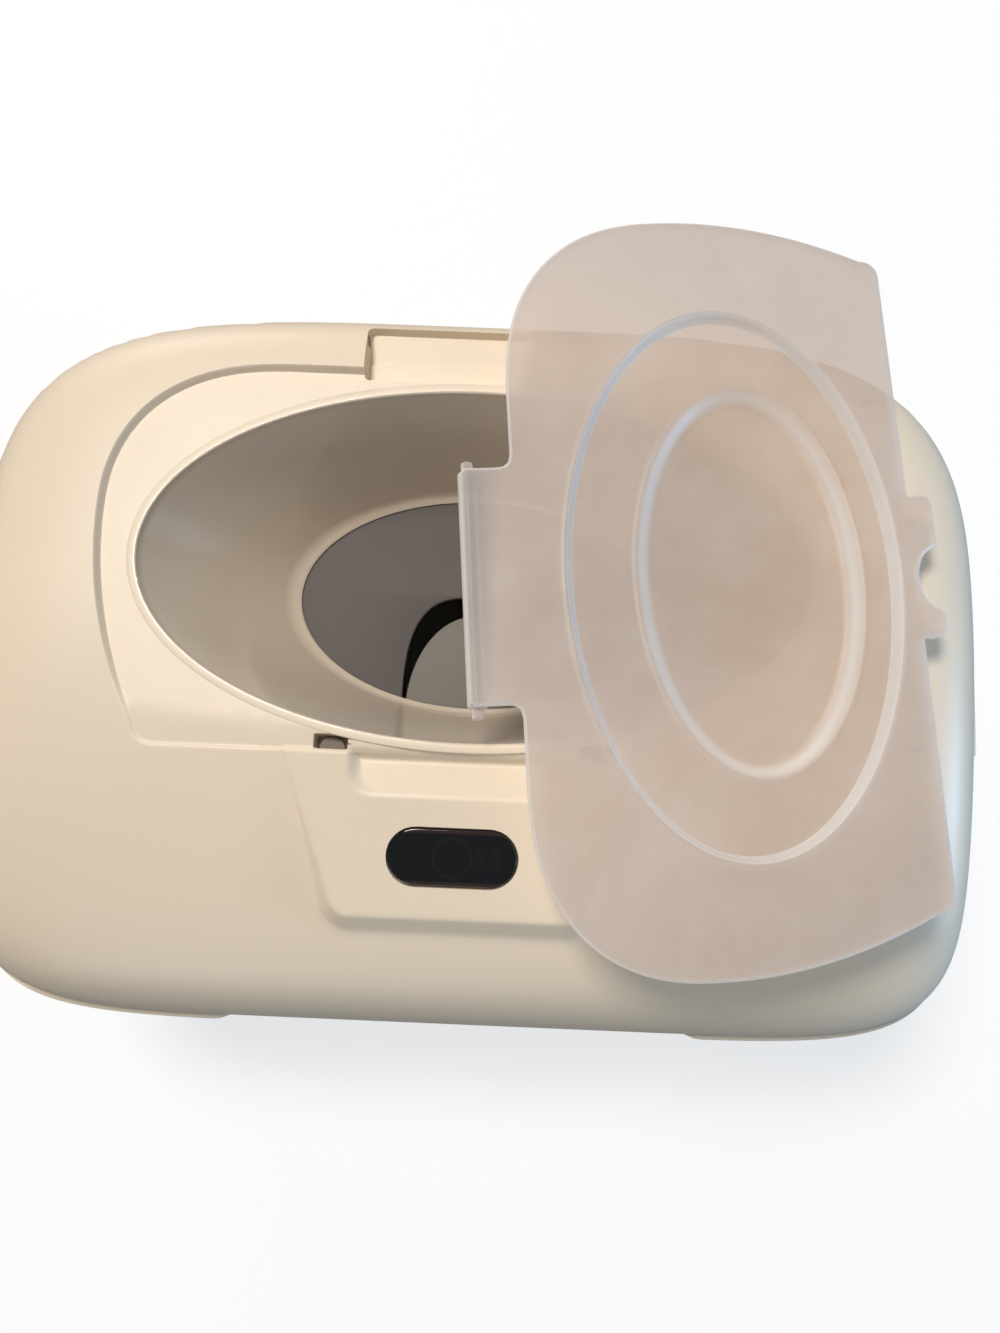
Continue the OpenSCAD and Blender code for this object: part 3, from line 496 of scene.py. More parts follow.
def moulded(name, colour, rough, vary=0.03, grain=900.0, strength=0.12, coat=0.0, specular=0.5, glow=0.0):
    """Moulded plastic: fine spark texture, slow colour drift and uneven gloss."""
    mat, tree, shader, coord = nodes_of(name)
    slow = noise(tree, coord, 14.0, 3.0)
    low = tuple(c * (1 - vary) for c in colour)
    high = tuple(min(1, c * (1 + vary)) for c in colour)
    tree.links.new(ramp(tree, slow.outputs["Fac"], low, high).outputs["Color"], shader.inputs["Base Color"])
    patch = noise(tree, coord, 55.0, 4.0, 0.6)
    gloss = spread(tree, patch.outputs["Fac"], max(rough - 0.05, 0.02), rough + 0.05)
    tree.links.new(gloss, shader.inputs["Roughness"])
    fine = noise(tree, coord, grain, 2.0)
    bump(tree, shader, fine.outputs["Fac"], strength, 0.0001)
    shader.inputs["Specular IOR Level"].default_value = specular
    shader.inputs["Coat Weight"].default_value = coat
    shader.inputs["Coat Roughness"].default_value = 0.06
    if glow:
        shader.inputs["Subsurface Weight"].default_value = glow
        shader.inputs["Subsurface Radius"].default_value = (1.0, 0.6, 0.4)
        shader.inputs["Subsurface Scale"].default_value = 0.003
    return mat


def metal(name, colour, rough, stretch=(40, 40, 900)):
    mat, tree, shader, coord = nodes_of(name)
    shader.inputs["Metallic"].default_value = 1.0
    scale = tree.nodes.new("ShaderNodeMapping")
    scale.inputs["Scale"].default_value = stretch
    tree.links.new(coord.outputs["Object"], scale.inputs["Vector"])
    tex = tree.nodes.new("ShaderNodeTexNoise")
    tex.inputs["Scale"].default_value = 1.0
    tree.links.new(scale.outputs["Vector"], tex.inputs["Vector"])
    tree.links.new(ramp(tree, tex.outputs["Fac"], tuple(c * 0.85 for c in colour), colour).outputs["Color"],
                   shader.inputs["Base Color"])
    tree.links.new(spread(tree, tex.outputs["Fac"], rough - 0.08, rough + 0.08), shader.inputs["Roughness"])
    bump(tree, shader, tex.outputs["Fac"], 0.1, 0.0001)
    return mat


IVORY = moulded("ivory_satin", (0.80, 0.69, 0.545), 0.42, 0.015, 700.0, 0.10, glow=0.04)
BOX_IVORY = moulded("ivory_box", (0.76, 0.655, 0.52), 0.45, 0.02, 700.0, 0.12, glow=0.04)
# Painted shade: the funnel's pearl tone is darkened in part for its deep hollow
PEARL_PAINTED_SHADE = moulded("pearl_funnel_painted_shade", (0.66, 0.575, 0.47), 0.24, 0.02, 260.0, 0.03, coat=0.6, glow=0.03)
# Painted shade: the plate and the tongue are darkened for the deep funnel they sit in; the tongue is also lighter
# than the plate, painted light for a tilt the flat plate doesn't have
PLATE_IN_PAINTED_SHADE = moulded("plate_lilac_painted_shade", (0.100, 0.090, 0.088), 0.5, 0.03, 900.0, 0.15, specular=0.2)
TONGUE_PAINTED_LIGHT_AND_SHADE = moulded("tongue_taupe_painted_light_and_shade", (0.150, 0.137, 0.122), 0.45, 0.03, 900.0, 0.15, specular=0.2)
TUB = moulded("tub_white", (0.84, 0.81, 0.75), 0.38, 0.02, 500.0, 0.08)
LINER = moulded("liner_grey", (0.66, 0.64, 0.60), 0.45, 0.03)
BLACK = moulded("black_plastic", (0.025, 0.025, 0.028), 0.4, 0.15)
BOARD = moulded("board_mask", (0.03, 0.20, 0.08), 0.3, 0.15, 400.0, 0.1)
LEDS = moulded("led_white", (0.80, 0.80, 0.78), 0.4)
# Painted shade: the post's brown is darkened for the slot it stands in
POST_IN_PAINTED_SHADE = moulded("post_brown_painted_shade", (0.13, 0.10, 0.07), 0.5, 0.1)
RUBBER = moulded("foot_rubber", (0.035, 0.035, 0.037), 0.7, 0.2, 500.0, 0.3)
SEAL = moulded("seal_silicone", (0.33, 0.33, 0.34), 0.6, 0.08)
FOAM = moulded("foam_white", (0.80, 0.80, 0.77), 0.9, 0.05, 350.0, 0.6)
FILM = moulded("film_amber", (0.52, 0.20, 0.02), 0.25, 0.1)
WIRE_RED = moulded("wire_red", (0.50, 0.02, 0.015), 0.35, 0.08)
WIRE_BLACK = moulded("wire_black", (0.03, 0.03, 0.033), 0.35, 0.1)
TAB = moulded("tab_pearl", (0.80, 0.70, 0.64), 0.3, 0.02, 500.0, 0.05, coat=0.1, glow=0.04)
STEEL = metal("zinc_steel", (0.62, 0.62, 0.60), 0.35)
SHEET_METAL = metal("rolled_aluminium", (0.82, 0.83, 0.85), 0.32, (900, 30, 30))
BRASS = metal("contact_brass", (0.80, 0.60, 0.25), 0.3)


def smoked_window():
    """Black glossy window: a faint ring for the touch key and two dim digits behind it."""
    mat, tree, shader, coord = nodes_of("window_black")
    split = tree.nodes.new("ShaderNodeSeparateXYZ")
    tree.links.new(coord.outputs["Object"], split.inputs["Vector"])
    maths = partial(math_node, tree)
    dx = maths("SUBTRACT", split.outputs["X"], WINDOW[0] * MM)
    dy = maths("SUBTRACT", split.outputs["Y"], WINDOW[1] * MM)
    radius = maths("SQRT", maths("ADD", maths("MULTIPLY", dx, dx), maths("MULTIPLY", dy, dy)))
    ring = maths("LESS_THAN", maths("ABSOLUTE", maths("SUBTRACT", radius, 0.0041)), 0.00022)
    far = maths("ABSOLUTE", maths("SUBTRACT", maths("ABSOLUTE", maths("SUBTRACT", dx, 0.0075)), 0.0016))
    digit = maths("MULTIPLY", maths("LESS_THAN", far, 0.0011),
                      maths("LESS_THAN", maths("ABSOLUTE", dy), 0.0026))
    edge = maths("MULTIPLY", maths("GREATER_THAN", maths("ABSOLUTE", dy), 0.0050), 0.5)
    mark = maths("MAXIMUM", maths("MULTIPLY", ring, 0.14), maths("MAXIMUM", maths("MULTIPLY", digit, 0.06), edge))
    tint = ramp(tree, mark, (0.004, 0.004, 0.005), (0.05, 0.028, 0.022), (0.0, 1.0))
    tree.links.new(tint.outputs["Color"], shader.inputs["Base Color"])
    smear = noise(tree, coord, 90.0, 3.0)
    tree.links.new(spread(tree, smear.outputs["Fac"], 0.04, 0.10), shader.inputs["Roughness"])
    shader.inputs["Coat Weight"].default_value = 0.4
    shader.inputs["Coat Roughness"].default_value = 0.03
    return mat


def frosted():
    """Milky translucent plastic: cloudy haze, patchy gloss and hair scratches."""
    mat, tree, shader, coord = nodes_of("frosted_smoke")
    slow = noise(tree, coord, 26.0, 4.0, 0.6)
    body = ramp(tree, slow.outputs["Fac"], (0.76, 0.65, 0.575), (0.83, 0.72, 0.64)).outputs["Color"]
    cloud = noise(tree, coord, 42.0, 4.0, 0.65)
    milk = spread(tree, cloud.outputs["Fac"], 0.0, 0.45, (0.42, 0.72))
    body = mixed(tree, milk, body, (0.90, 0.86, 0.83))
    haze = spread(tree, cloud.outputs["Fac"], 0.42, 0.60)
    # Painted highlight: steep walls and rims, which gather light along their length, are turned paler and made denser
    normal = tree.nodes.new("ShaderNodeSeparateXYZ")
    tree.links.new(coord.outputs["Normal"], normal.inputs["Vector"])
    steep = spread(tree, math_node(tree, "ABSOLUTE", normal.outputs["Z"]), 1.0, 0.0, (0.72, 0.985))
    # The hinge tab is coloured grey, without the warm tint
    split = tree.nodes.new("ShaderNodeSeparateXYZ")
    tree.links.new(coord.outputs["Object"], split.inputs["Vector"])
    tab_share = spread(tree, split.outputs["X"], 1.0, 0.0, (0.001, 0.006))
    grey = mixed(tree, tab_share, body, (0.52, 0.52, 0.53))
    tree.links.new(mixed(tree, steep, grey, (0.93, 0.90, 0.87)), shader.inputs["Base Color"])
    dense = math_node(tree, "ADD", haze, math_node(tree, "MULTIPLY", steep, 0.25))
    tree.links.new(math_node(tree, "MINIMUM", dense, 0.95), shader.inputs["Alpha"])
    patch = noise(tree, coord, 60.0, 4.0, 0.6)
    tree.links.new(spread(tree, patch.outputs["Fac"], 0.36, 0.46), shader.inputs["Roughness"])
    shader.inputs["IOR"].default_value = 1.5
    shader.inputs["Specular IOR Level"].default_value = 0.6
    scale = tree.nodes.new("ShaderNodeMapping")
    scale.inputs["Scale"].default_value = (60, 1400, 60)
    scale.inputs["Rotation"].default_value = (0, 0, 0.6)
    tree.links.new(coord.outputs["Object"], scale.inputs["Vector"])
    scratch = tree.nodes.new("ShaderNodeTexNoise")
    scratch.inputs["Scale"].default_value = 1.0
    tree.links.new(scale.outputs["Vector"], scratch.inputs["Vector"])
    line = ramp(tree, scratch.outputs["Fac"], (0, 0, 0), (1, 1, 1), (0.70, 0.76))
    bump(tree, shader, line.outputs["Color"], 0.12, 0.00005)
    # A share of the light goes through diffused
    through = tree.nodes.new("ShaderNodeBsdfTranslucent")
    through.inputs["Color"].default_value = (0.95, 0.87, 0.81, 1)
    blend = tree.nodes.new("ShaderNodeMixShader")
    blend.inputs[0].default_value = 0.3
    tree.links.new(shader.outputs[0], blend.inputs[1])
    tree.links.new(through.outputs[0], blend.inputs[2])
    tree.links.new(blend.outputs[0], tree.nodes["Material Output"].inputs["Surface"])
    return mat


GLASS = smoked_window()
FROST = frosted()

# Cover
SEAT = rounded(seat_outline(0), 0, 1.2)
HOLE = oval(HOLE_A, HOLE_B, MOUTH_Y, 300)
PANEL = rounded([(-PANEL_BACK, SEAT_FRONT), (-PANEL_TIP, PANEL_FRONT),
                 (PANEL_TIP, PANEL_FRONT), (PANEL_BACK, SEAT_FRONT)], [0.3, 4, 4, 0.3])
RECESS = rounded([(-RECESS_HALF, RECESS_BACK), (-RECESS_HALF, RECESS_FRONT),
                  (RECESS_HALF, RECESS_FRONT), (RECESS_HALF, RECESS_BACK)], [0.4, 5.5, 5.5, 0.4])
POCKET = rounded([(-POCKET_HALF, POCKET_FRONT), (POCKET_HALF, POCKET_FRONT),
                  (POCKET_HALF, POCKET_BACK), (-POCKET_HALF, POCKET_BACK)], [0.5, 0.5, 0.9, 0.9])
WINDOW_LOOP = rounded(box_loop(*WINDOW, WINDOW_W + 0.1, WINDOW_H + 0.1), WINDOW_H / 2)
SLOTS = [rounded(box_loop(x, SLOT_Y, SLOT_W, SLOT_D), 0.3, 0.4) for x in (-SLOT_X, SLOT_X)]


def sink(z, floor, d, inner, outer):
    """Lowers z to a floor inside an outline, with a soft edge from inner to outer."""
    t = ease((d + inner) / (inner + outer))
    low = np.minimum(z, floor)
    return low + (z - low) * t


def cover_top(p):
    """Height of the cover's outer face: the dome with all that rises from it or is sunk in it."""
    y = p[:, 1]
    z = dome(p)
    d = distance(p, PANEL)
    soft, steep = 0.5, 1.25
    fall = steep * np.where(d < -soft, 0, np.where(d < soft, (d + soft) ** 2 / (4 * soft), d))
    raised = panel_z(np.minimum(y, SEAT_FRONT)) - fall
    # A small fillet where the panel's slope meets the dome
    fillet, fillet_h = 0.5, 0.12
    blend = np.maximum(fillet - np.abs(z - raised), 0) / fillet
    z = np.maximum(z, raised) + blend * blend * fillet_h * (d < 6)
    z = sink(z, np.minimum(SEAT_Z, z - SEAT_STEP), distance(p, SEAT), 0.35, 0.55)
    share = np.clip((RECESS_BACK - y) / (RECESS_BACK - RECESS_FRONT), 0, 1)
    wedge = RECESS_Z + (panel_z(RECESS_FRONT) - RECESS_Z) * share
    z = sink(z, wedge, distance(p, RECESS), 1.4, 1.3)
    ledge = POCKET_Z + LEDGE_H * (1 - ease((y - LEDGE_Y) / LEDGE_SOFT))
    z = sink(z, ledge, distance(p, POCKET), 0.15, 0.45)
    for loop in SLOTS:
        z = sink(z, SLOT_Z, distance(p, loop), 0.05, 0.35)
    return sink(z, panel_z(y) - WINDOW_T, distance(p, WINDOW_LOOP), 0.0, 0.25)


def make_cover():
    base = plan_loop(0)
    join = 0.965
    ring0 = CENTRE + join * (base - CENTRE)
    rows = [(SEAT, (-1.0, -0.35, -0.1, 0.15, 0.35, 0.55, 1.1)),
            (PANEL, (-1.2, -0.4, -0.1, 0.2, 0.4, 1.1, 1.9, 2.7, 3.5, 4.6)),
            (RECESS, (-2.0, -1.4, -0.8, -0.2, 0.4, 0.9, 1.3, 1.9)), (POCKET, (-0.7, -0.15, 0.15, 0.45, 0.9)),
            (WINDOW_LOOP, (0.0, 0.12, 0.25, 0.7)), (HOLE, (0.7, 1.6))] + [(s, (-0.05, 0.15, 0.35)) for s in SLOTS]
    # Rows of points along the step in the pocket's floor
    lines = [[(x, y) for x in np.arange(-24.6, 24.7, 0.8)] for y in (66.2, 66.4, 66.6)]
    xy, tris, place = sheet(ring0, [HOLE], rows, 2.1, lines)
    n = len(xy)
    top = cover_top(xy)
    low = np.minimum(dome(xy, WALL), top - 2.0)
    count = len(base)
    first = [place[i] for i in range(count)]
    verts = [np.c_[xy, top], np.c_[xy, low]]
    faces = [tuple(t) for t in tris] + [tuple(t[::-1] + n) for t in tris]
    outer_set = set(first)
    faces += [(b, a, a + n, b + n) for a, b in border(tris) if not (a in outer_set and b in outer_set)]

    def band(start, foot_inset, f0, rows_count):
        """Rings from the join ring down to the foot."""
        reach = (base - CENTRE) / plan_share(base, foot_inset)[:, None]
        root = edge_root(CENTRE + reach, 1.0, foot_inset)
        prev = start
        shares = [f0 * math.cos(math.pi / 2 * k / rows_count) for k in range(1, rows_count)]
        shares += [np.full(count, 0.012), np.zeros(count)]
        for k, f in enumerate(shares):
            xy_k = CENTRE + reach * ((1 - f ** root) ** (1 / EDGE_POWER))[:, None]
            if k == len(shares) - 1 and not foot_inset:
                xy_k = offset(xy_k, FOOT_DRAW)
            z_k = FOOT + (crown_z(xy_k) - foot_inset - FOOT) * f
            idx = sum(len(v) for v in verts)
            verts.append(np.c_[xy_k, z_k])
            now = list(range(idx, idx + count))
            faces.extend((prev[i], prev[(i + 1) % count], now[(i + 1) % count], now[i]) for i in range(count))
            prev = now
        return prev

    f_out, f_in = ((1 - np.minimum(r, 1) ** EDGE_POWER) ** (1 / edge_root(ring0, r, inset))
                   for r, inset in ((plan_share(ring0), 0.0), (plan_share(ring0, WALL), WALL)))
    a = band(first, 0.0, f_out, 26)
    b = band([i + n for i in first], WALL, f_in, 12)
    faces.extend((a[i], a[(i + 1) % count], b[(i + 1) % count], b[i]) for i in range(count))
    obj = piece("cover_skin", np.vstack(verts), faces, None, 32)
    for s in (-1, 1):
        loop = rounded([(LATCH_Y + sx * (LATCH_W / 2 + LATCH_GAP), LATCH_Z + sz * (LATCH_H / 2 + LATCH_GAP))
                        for sx, sz in CORNERS], 0.8, 4.0)
        rings = [np.c_[np.full(len(loop), s * x), loop] for x in (108.0, 124.0)]
        boolean(obj, piece("window_cut", *rings_mesh(rings), None))
    t = np.linspace(0, 2 * np.pi, 24, endpoint=False)
    rings = [np.c_[np.full(24, x), PIN_Y + PIN_HOLE_R * np.cos(t), PIN_Z + PIN_HOLE_R * np.sin(t)]
             for x in (-PIN_HOLE_X, PIN_HOLE_X)]
    boolean(obj, piece("pin_cut", *rings_mesh(rings), None))
    rings = [np.c_[JACK_X + r * np.cos(t), np.full(24, y), JACK_Z + r * np.sin(t)]
             for y, r in ((72.0, 5.6), (79.45, 5.6), (79.5, 7.2), (84.0, 7.2))]
    boolean(obj, piece("jack_cut", *rings_mesh(rings), None))
    tidy(obj, 32)
    obj.data.materials.clear()
    obj.data.materials.append(IVORY)
    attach(obj, "cover")
    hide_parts("cover_shell")


make_cover()


# Funnel and plate
def make_funnel():
    inner, outer = [], []
    for t in np.linspace(0, 1, 30):
        z = SEAT_Z + (THROAT_Z - SEAT_Z) * t ** 0.92
        a, b = MOUTH_A + (THROAT_A - MOUTH_A) * t, MOUTH_B + (THROAT_B - MOUTH_B) * t
        y = MOUTH_Y + (THROAT_Y - MOUTH_Y) * t
        inner.append((a, b, y, z))
        outer.append((a + FUNNEL_T, b + FUNNEL_T, y, z))
    lip = []
    for t in np.radians(np.arange(0, 91, 15)):
        out = 0.5 * (1 - math.cos(t))
        lip.append((MOUTH_A + out, MOUTH_B + out, MOUTH_Y, SEAT_Z - 0.35 + 0.47 * math.sin(t)))
    far = HOLE_A + LIP_OVER - MOUTH_A
    flange = ((0.8, 0.12), (far - 0.3, 0.12), (far - 0.08, 0.05), (far, -0.1), (far, -0.6))
    lip += [(MOUTH_A + out, MOUTH_B + out, MOUTH_Y, SEAT_Z + z) for out, z in flange]
    bead = [(THROAT_A - 0.1, THROAT_B - 0.1, THROAT_Y, 95.3), (THROAT_A - 0.7, THROAT_B - 0.7, THROAT_Y, 95.0),
            (THROAT_A - 0.9, THROAT_B - 0.9, THROAT_Y, 94.7), (THROAT_A - 0.7, THROAT_B - 0.7, THROAT_Y, THROAT_Z)]
    profile = list(reversed([p for p in inner if 95.6 < p[3] < SEAT_Z - 0.6]))
    profile = bead[::-1] + profile + lip + [(HOLE_A + LIP_OVER, HOLE_B + LIP_OVER, MOUTH_Y, SEAT_Z - 0.45)]
    profile += [(MOUTH_A + FUNNEL_T, MOUTH_B + FUNNEL_T, MOUTH_Y, SEAT_Z - 0.6)] + outer[1:]
    rings = [flat_ring(oval(a, b, y, 260), z) for a, b, y, z in profile]
    obj = piece("funnel_skin", *rings_mesh(rings, caps=False, closed=True), PEARL_PAINTED_SHADE, 50, "cover", "pearl_plastic")
    obj.data.materials.append(IVORY)
    # The flat flange outside the rolled lip is ivory like the cover
    for poly in obj.data.polygons:
        x, y, z = poly.center / MM
        out = math.hypot(x / (MOUTH_A + 0.6), (y - MOUTH_Y) / (MOUTH_B + 0.6))
        poly.material_index = int(z > SEAT_Z - 0.3 and out > 1)
    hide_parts("funnel")


make_funnel()


def make_plate():
    slim = 0.8
    t = np.radians(np.linspace(0, 180, 70))
    far = np.stack([(TONGUE_HALF + slim) * power(np.cos(t), 2 / 3),
                    TONGUE_ROOT + CRESCENT_REACH * power(np.sin(t), 2 / 3)], -1)
    near = np.stack([TONGUE_HALF * np.cos(t), TONGUE_ROOT + TONGUE_REACH * np.sin(t)], -1)[::-1]
    slot = resample(np.vstack([far, near]), 220)
    rim = oval(THROAT_A + PLATE_OVER, THROAT_B + PLATE_OVER, THROAT_Y, 200)
    obj = slab("plate_body", [rim, slot[::-1]], PLATE_Z, PLATE_Z + PLATE_T, 0.3, PLATE_IN_PAINTED_SHADE)
    obj.data.materials.append(TONGUE_PAINTED_LIGHT_AND_SHADE)
    # The tongue takes the lighter colour, painted light for a tilt this flat slab doesn't have
    inside = np.stack([(TONGUE_HALF - 0.6) * np.cos(t), TONGUE_ROOT + (TONGUE_REACH - 0.6) * np.sin(t)], -1)
    for poly in obj.data.polygons:
        c = np.array([[poly.center.x / MM, poly.center.y / MM]])
        if distance(c, inside)[0] < 0.4:
            poly.material_index = 1
    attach(obj, "cover")
    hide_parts("dispensing_plate")


make_plate()


# Window, tabs and small parts
def make_window():
    middle = Matrix.Translation((WINDOW[0] * MM, WINDOW[1] * MM, panel_z(WINDOW[1]) * MM))
    tilt = middle @ Matrix.Rotation(PANEL_SLOPE, 4, "X")
    pill = rounded(box_loop(0, 0, WINDOW_W, WINDOW_H), WINDOW_H / 2 - 0.01, 0.5)
    window = slab("window_pane", [pill], -WINDOW_T, 0.0, 0.35, GLASS, tilt)
    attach(window, "cover")
    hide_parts("display_window")


make_window()

for node, width, mat, body, slot in (
    ("left_latch_button", 0.7, TAB, "left_latch", "pearl_plastic"),
    ("right_latch_button", 0.7, TAB, "right_latch", "pearl_plastic"),
    ("rubber_feet", 0.5, RUBBER, "base", "foot_rubber"),
    ("power_socket", 0.3, BLACK, "cover", "black_plastic"),
):
    soft = softened(node, width, mat)
    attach(soft, body)
    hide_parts(node)


# Box and tub
def lathe(name, profile, material, body, node, slot, notch=None):
    """A skin swept round the body's plan: each step is an inset and a height.

    The notch is a half width, and the least inset that is left in the front there.
    """
    loops = {}
    rings = []
    for inset, z in profile:
        if inset not in loops:
            loops[inset] = plan_loop(inset)
        loop = loops[inset]
        if notch and inset < notch[1]:
            if notch[1] not in loops:
                loops[notch[1]] = plan_loop(notch[1])
            away = ease((np.abs(loop[:, 0]) - notch[0] + 1.2) / 9.0)
            away = np.where(loop[:, 1] < 0, away, 1)[:, None]
            loop = loop * away + loops[notch[1]] * (1 - away)
        rings.append(flat_ring(loop, z))
    obj = piece(name, *rings_mesh(rings), material, 40, body, slot)
    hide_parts(node)


low = BOX_INSET + BOX_LEAN
slope = (low - 0.4 - BOX_INSET) / (PART_Z - RIM_T - 8)
box_profile = [(low + 14, 3.0), (low + 4.2, 3.0), (low + 2.6, 3.25), (low + 1.2, 4.2), (low + 0.2, 5.8),
               (low - 0.4, 8.0)]
box_profile += [(low - 0.4 - slope * (z - 8), z) for z in (20, 35, 50, 65, 78, 86)]
box_profile += [(BOX_INSET + 0.05, 89.4), (BOX_INSET - 0.35, 90.1), (BOX_INSET - 1.0, 90.4),
                (-RIM_OUT + 0.6, 90.4), (-RIM_OUT + 0.15, 90.55), (-RIM_OUT, 90.95), (-RIM_OUT, 91.5),
                (-RIM_OUT + 0.15, 91.85), (-RIM_OUT + 0.5, 92.0), (BOX_INSET + 1.0, 92.0),
                (BOX_INSET + WALL - 0.2, 92.0), (BOX_INSET + WALL, 91.8), (BOX_INSET + WALL, 90.4),
                (low + WALL - 0.6, 14.0), (low + WALL, 9.5), (low + WALL + 2, 5.5), (low + WALL + 10, 5.5)]
lathe("box_skin", box_profile, BOX_IVORY, "base", "base_shell", "ivory_plastic", notch=(NOTCH_HALF, BOX_INSET + 0.02))

deep = TUB_INSET + TUB_LEAN
tub_profile = [(deep + 12, 8.0), (deep + 3.6, 8.0), (deep + 1.8, 8.6), (deep + 0.5, 10.2), (deep, 12.0)]
tub_profile += [(deep + (TUB_INSET - deep) * (z - 12) / 80, z) for z in (25, 45, 65, 82)]
tub_profile += [(TUB_INSET + 0.1, 91.0), (TUB_INSET - 0.5, 91.8), (TUB_INSET - 1.4, 92.0), (3.6, 92.0),
                (3.15, 92.3), (3.1, 93.0), (3.15, 93.7), (3.6, 94.0), (TUB_INSET + 1.3, 94.0),
                (TUB_INSET + TUB_T - 0.1, 93.7), (TUB_INSET + TUB_T, 93.0), (TUB_INSET + TUB_T, 91.0),
                (deep + TUB_T, 14.0), (deep + TUB_T + 0.6, 12.0), (deep + TUB_T + 2.6, 10.2),
                (deep + TUB_T + 10, 10.0)]
lathe("tub_skin", tub_profile, TUB, "base", "wipe_tub", "tub_plastic")


# Flip lid
def make_lid():
    plate = seat_outline(LID_GAP) - (0, LID_MID)
    back = SEAT_BACK - LID_GAP - LID_MID
    front = SEAT_FRONT + LID_GAP - LID_MID
    barrel_y = PIN_Y - LID_MID
    tab = POCKET_HALF - 0.3
    tab_back = barrel_y + BARREL_R - 0.6
    # One outline, anticlockwise: plate, press tab with its notch, hinge tab with soft inner corners
    pts = list(map(tuple, plate))
    half = len(pts) // 2
    right, left = pts[:half], pts[half:]
    out_y = front - 5.2
    notch_x, notch_w, notch_d = -2.5, 6.5, 4.1
    lobe = [(-15, front - 0.2), (-15.2, front - 2.0), (-14.6, out_y + 0.9), (-13.2, out_y + 0.1), (-11.8, out_y)]
    lobe += [(notch_x - notch_w - 0.8, out_y + 0.05)]
    lobe += [(notch_x - notch_w * math.cos(t), out_y + 0.4 + notch_d * math.sin(t))
             for t in np.radians(np.arange(8, 173, 11))]
    lobe += [(notch_x + notch_w + 0.8, out_y + 0.05), (12.6, out_y), (14.2, out_y + 0.2), (15.4, out_y + 1.0),
             (15.8, front - 2.0), (15.6, front - 0.2)]
    hinge = [(tab + 2.6, back), (tab + 1.0, back + 0.45), (tab + 0.2, back + 1.4), (tab, back + 2.6),
             (tab, tab_back - 0.8), (tab - 0.8, tab_back)]
    hinge += [(-x, y) for x, y in reversed(hinge)]

    def beside_tab(side):
        return [p for p in side if not (abs(p[0]) < tab + 2.8 and p[1] > 0)]

    loop = beside_tab(right) + hinge + beside_tab(left) + lobe
    # Points closer than 0.05 mm to the one before are left out
    outline = [loop[0]] + [p for o, p in zip(loop, loop[1:]) if math.hypot(p[0] - o[0], p[1] - o[1]) > 0.05]
    outline = rounded(np.array(outline), 0, 0.9)
    step = oval(*STEP[:3], 320)
    dish = oval(*DISH[:3], 260)
    edge_r = 0.55

    def edge_drop(d):
        """The quarter round of the rim."""
        t = np.clip((d + edge_r) / edge_r, 0, 1)
        return edge_r * (1 - np.sqrt(np.maximum(1 - t * t, 0)))

    def bead(d, at, wide, high):
        return high * np.exp(-((d - at) / wide) ** 2)

    def drops(p, grow):
        """How far the step and the bowl-shaped dish lie under the plate."""
        d1, d2 = distance(p, step) - grow, distance(p, dish) - grow
        bowl = np.clip(1 - (p[:, 0] / DISH[0]) ** 2 - ((p[:, 1] - DISH[2]) / DISH[1]) ** 2, 0, 1)
        return STEP[3] * ease(-d1 / 1.5) + (DISH[3] - STEP[3]) * (0.66 * ease(-d2 / 3.2) + 0.34 * bowl)

    def top(p):
        d, d1, d2 = (distance(p, loop) for loop in (outline, step, dish))
        beads = bead(d, -0.85, 0.45, 0.03) + bead(d1, 0.3, 0.35, 0.15) + bead(d2, 0.3, 0.35, 0.18)
        beads += bead(p[:, 1], tab_back - 1.5, 0.8, 0.3) * (np.abs(p[:, 0]) < tab + 1)
        return beads - drops(p, 0.0) - edge_drop(d)

    def under(p):
        return -LID_T - drops(p, 1.3) + edge_drop(distance(p, outline))

    rows = [(outline, (-0.08, -0.2, -0.38, -0.6, -0.85, -1.1, -1.5, -2.0)),
            (step, (-2.0, -1.5, -1.1, -0.7, -0.35, 0.0, 0.25, 0.45, 0.7, 1.3)),
            (dish, (-4.0, -3.2, -2.4, -1.6, -0.8, -0.3, 0.0, 0.4, 0.8, 1.5))]
    obj = relief("lid_skin", outline, rows, 2.4, top, under)
    t = np.linspace(0, 2 * np.pi, 40, endpoint=False)
    zc = PIN_Z - SEAT_Z - LID_T
    spans = [(-tab - 2.3, NUB_R - 0.35), (-tab - 2.1, NUB_R - 0.05), (-tab - 1.6, NUB_R), (-tab, NUB_R),
             (-tab + 0.02, BARREL_R - 0.3), (-tab + 0.3, BARREL_R)]
    spans += [(-x, r) for x, r in reversed(spans)]
    rings = [np.c_[np.full(40, x), barrel_y + r * np.cos(t), zc + r * np.sin(t)] for x, r in spans]
    boolean(obj, piece("lid_barrel", *rings_mesh(rings), None), "UNION")
    web = rounded([(-tab + 0.4, barrel_y - 1.9), (tab - 0.4, barrel_y - 1.9),
                   (tab - 0.4, barrel_y + 1.5), (-tab + 0.4, barrel_y + 1.5)], 0.4, 6)
    boolean(obj, piece("lid_web", *rings_mesh([flat_ring(web, z) for z in (zc, -LID_T + 0.4)]), None), "UNION")
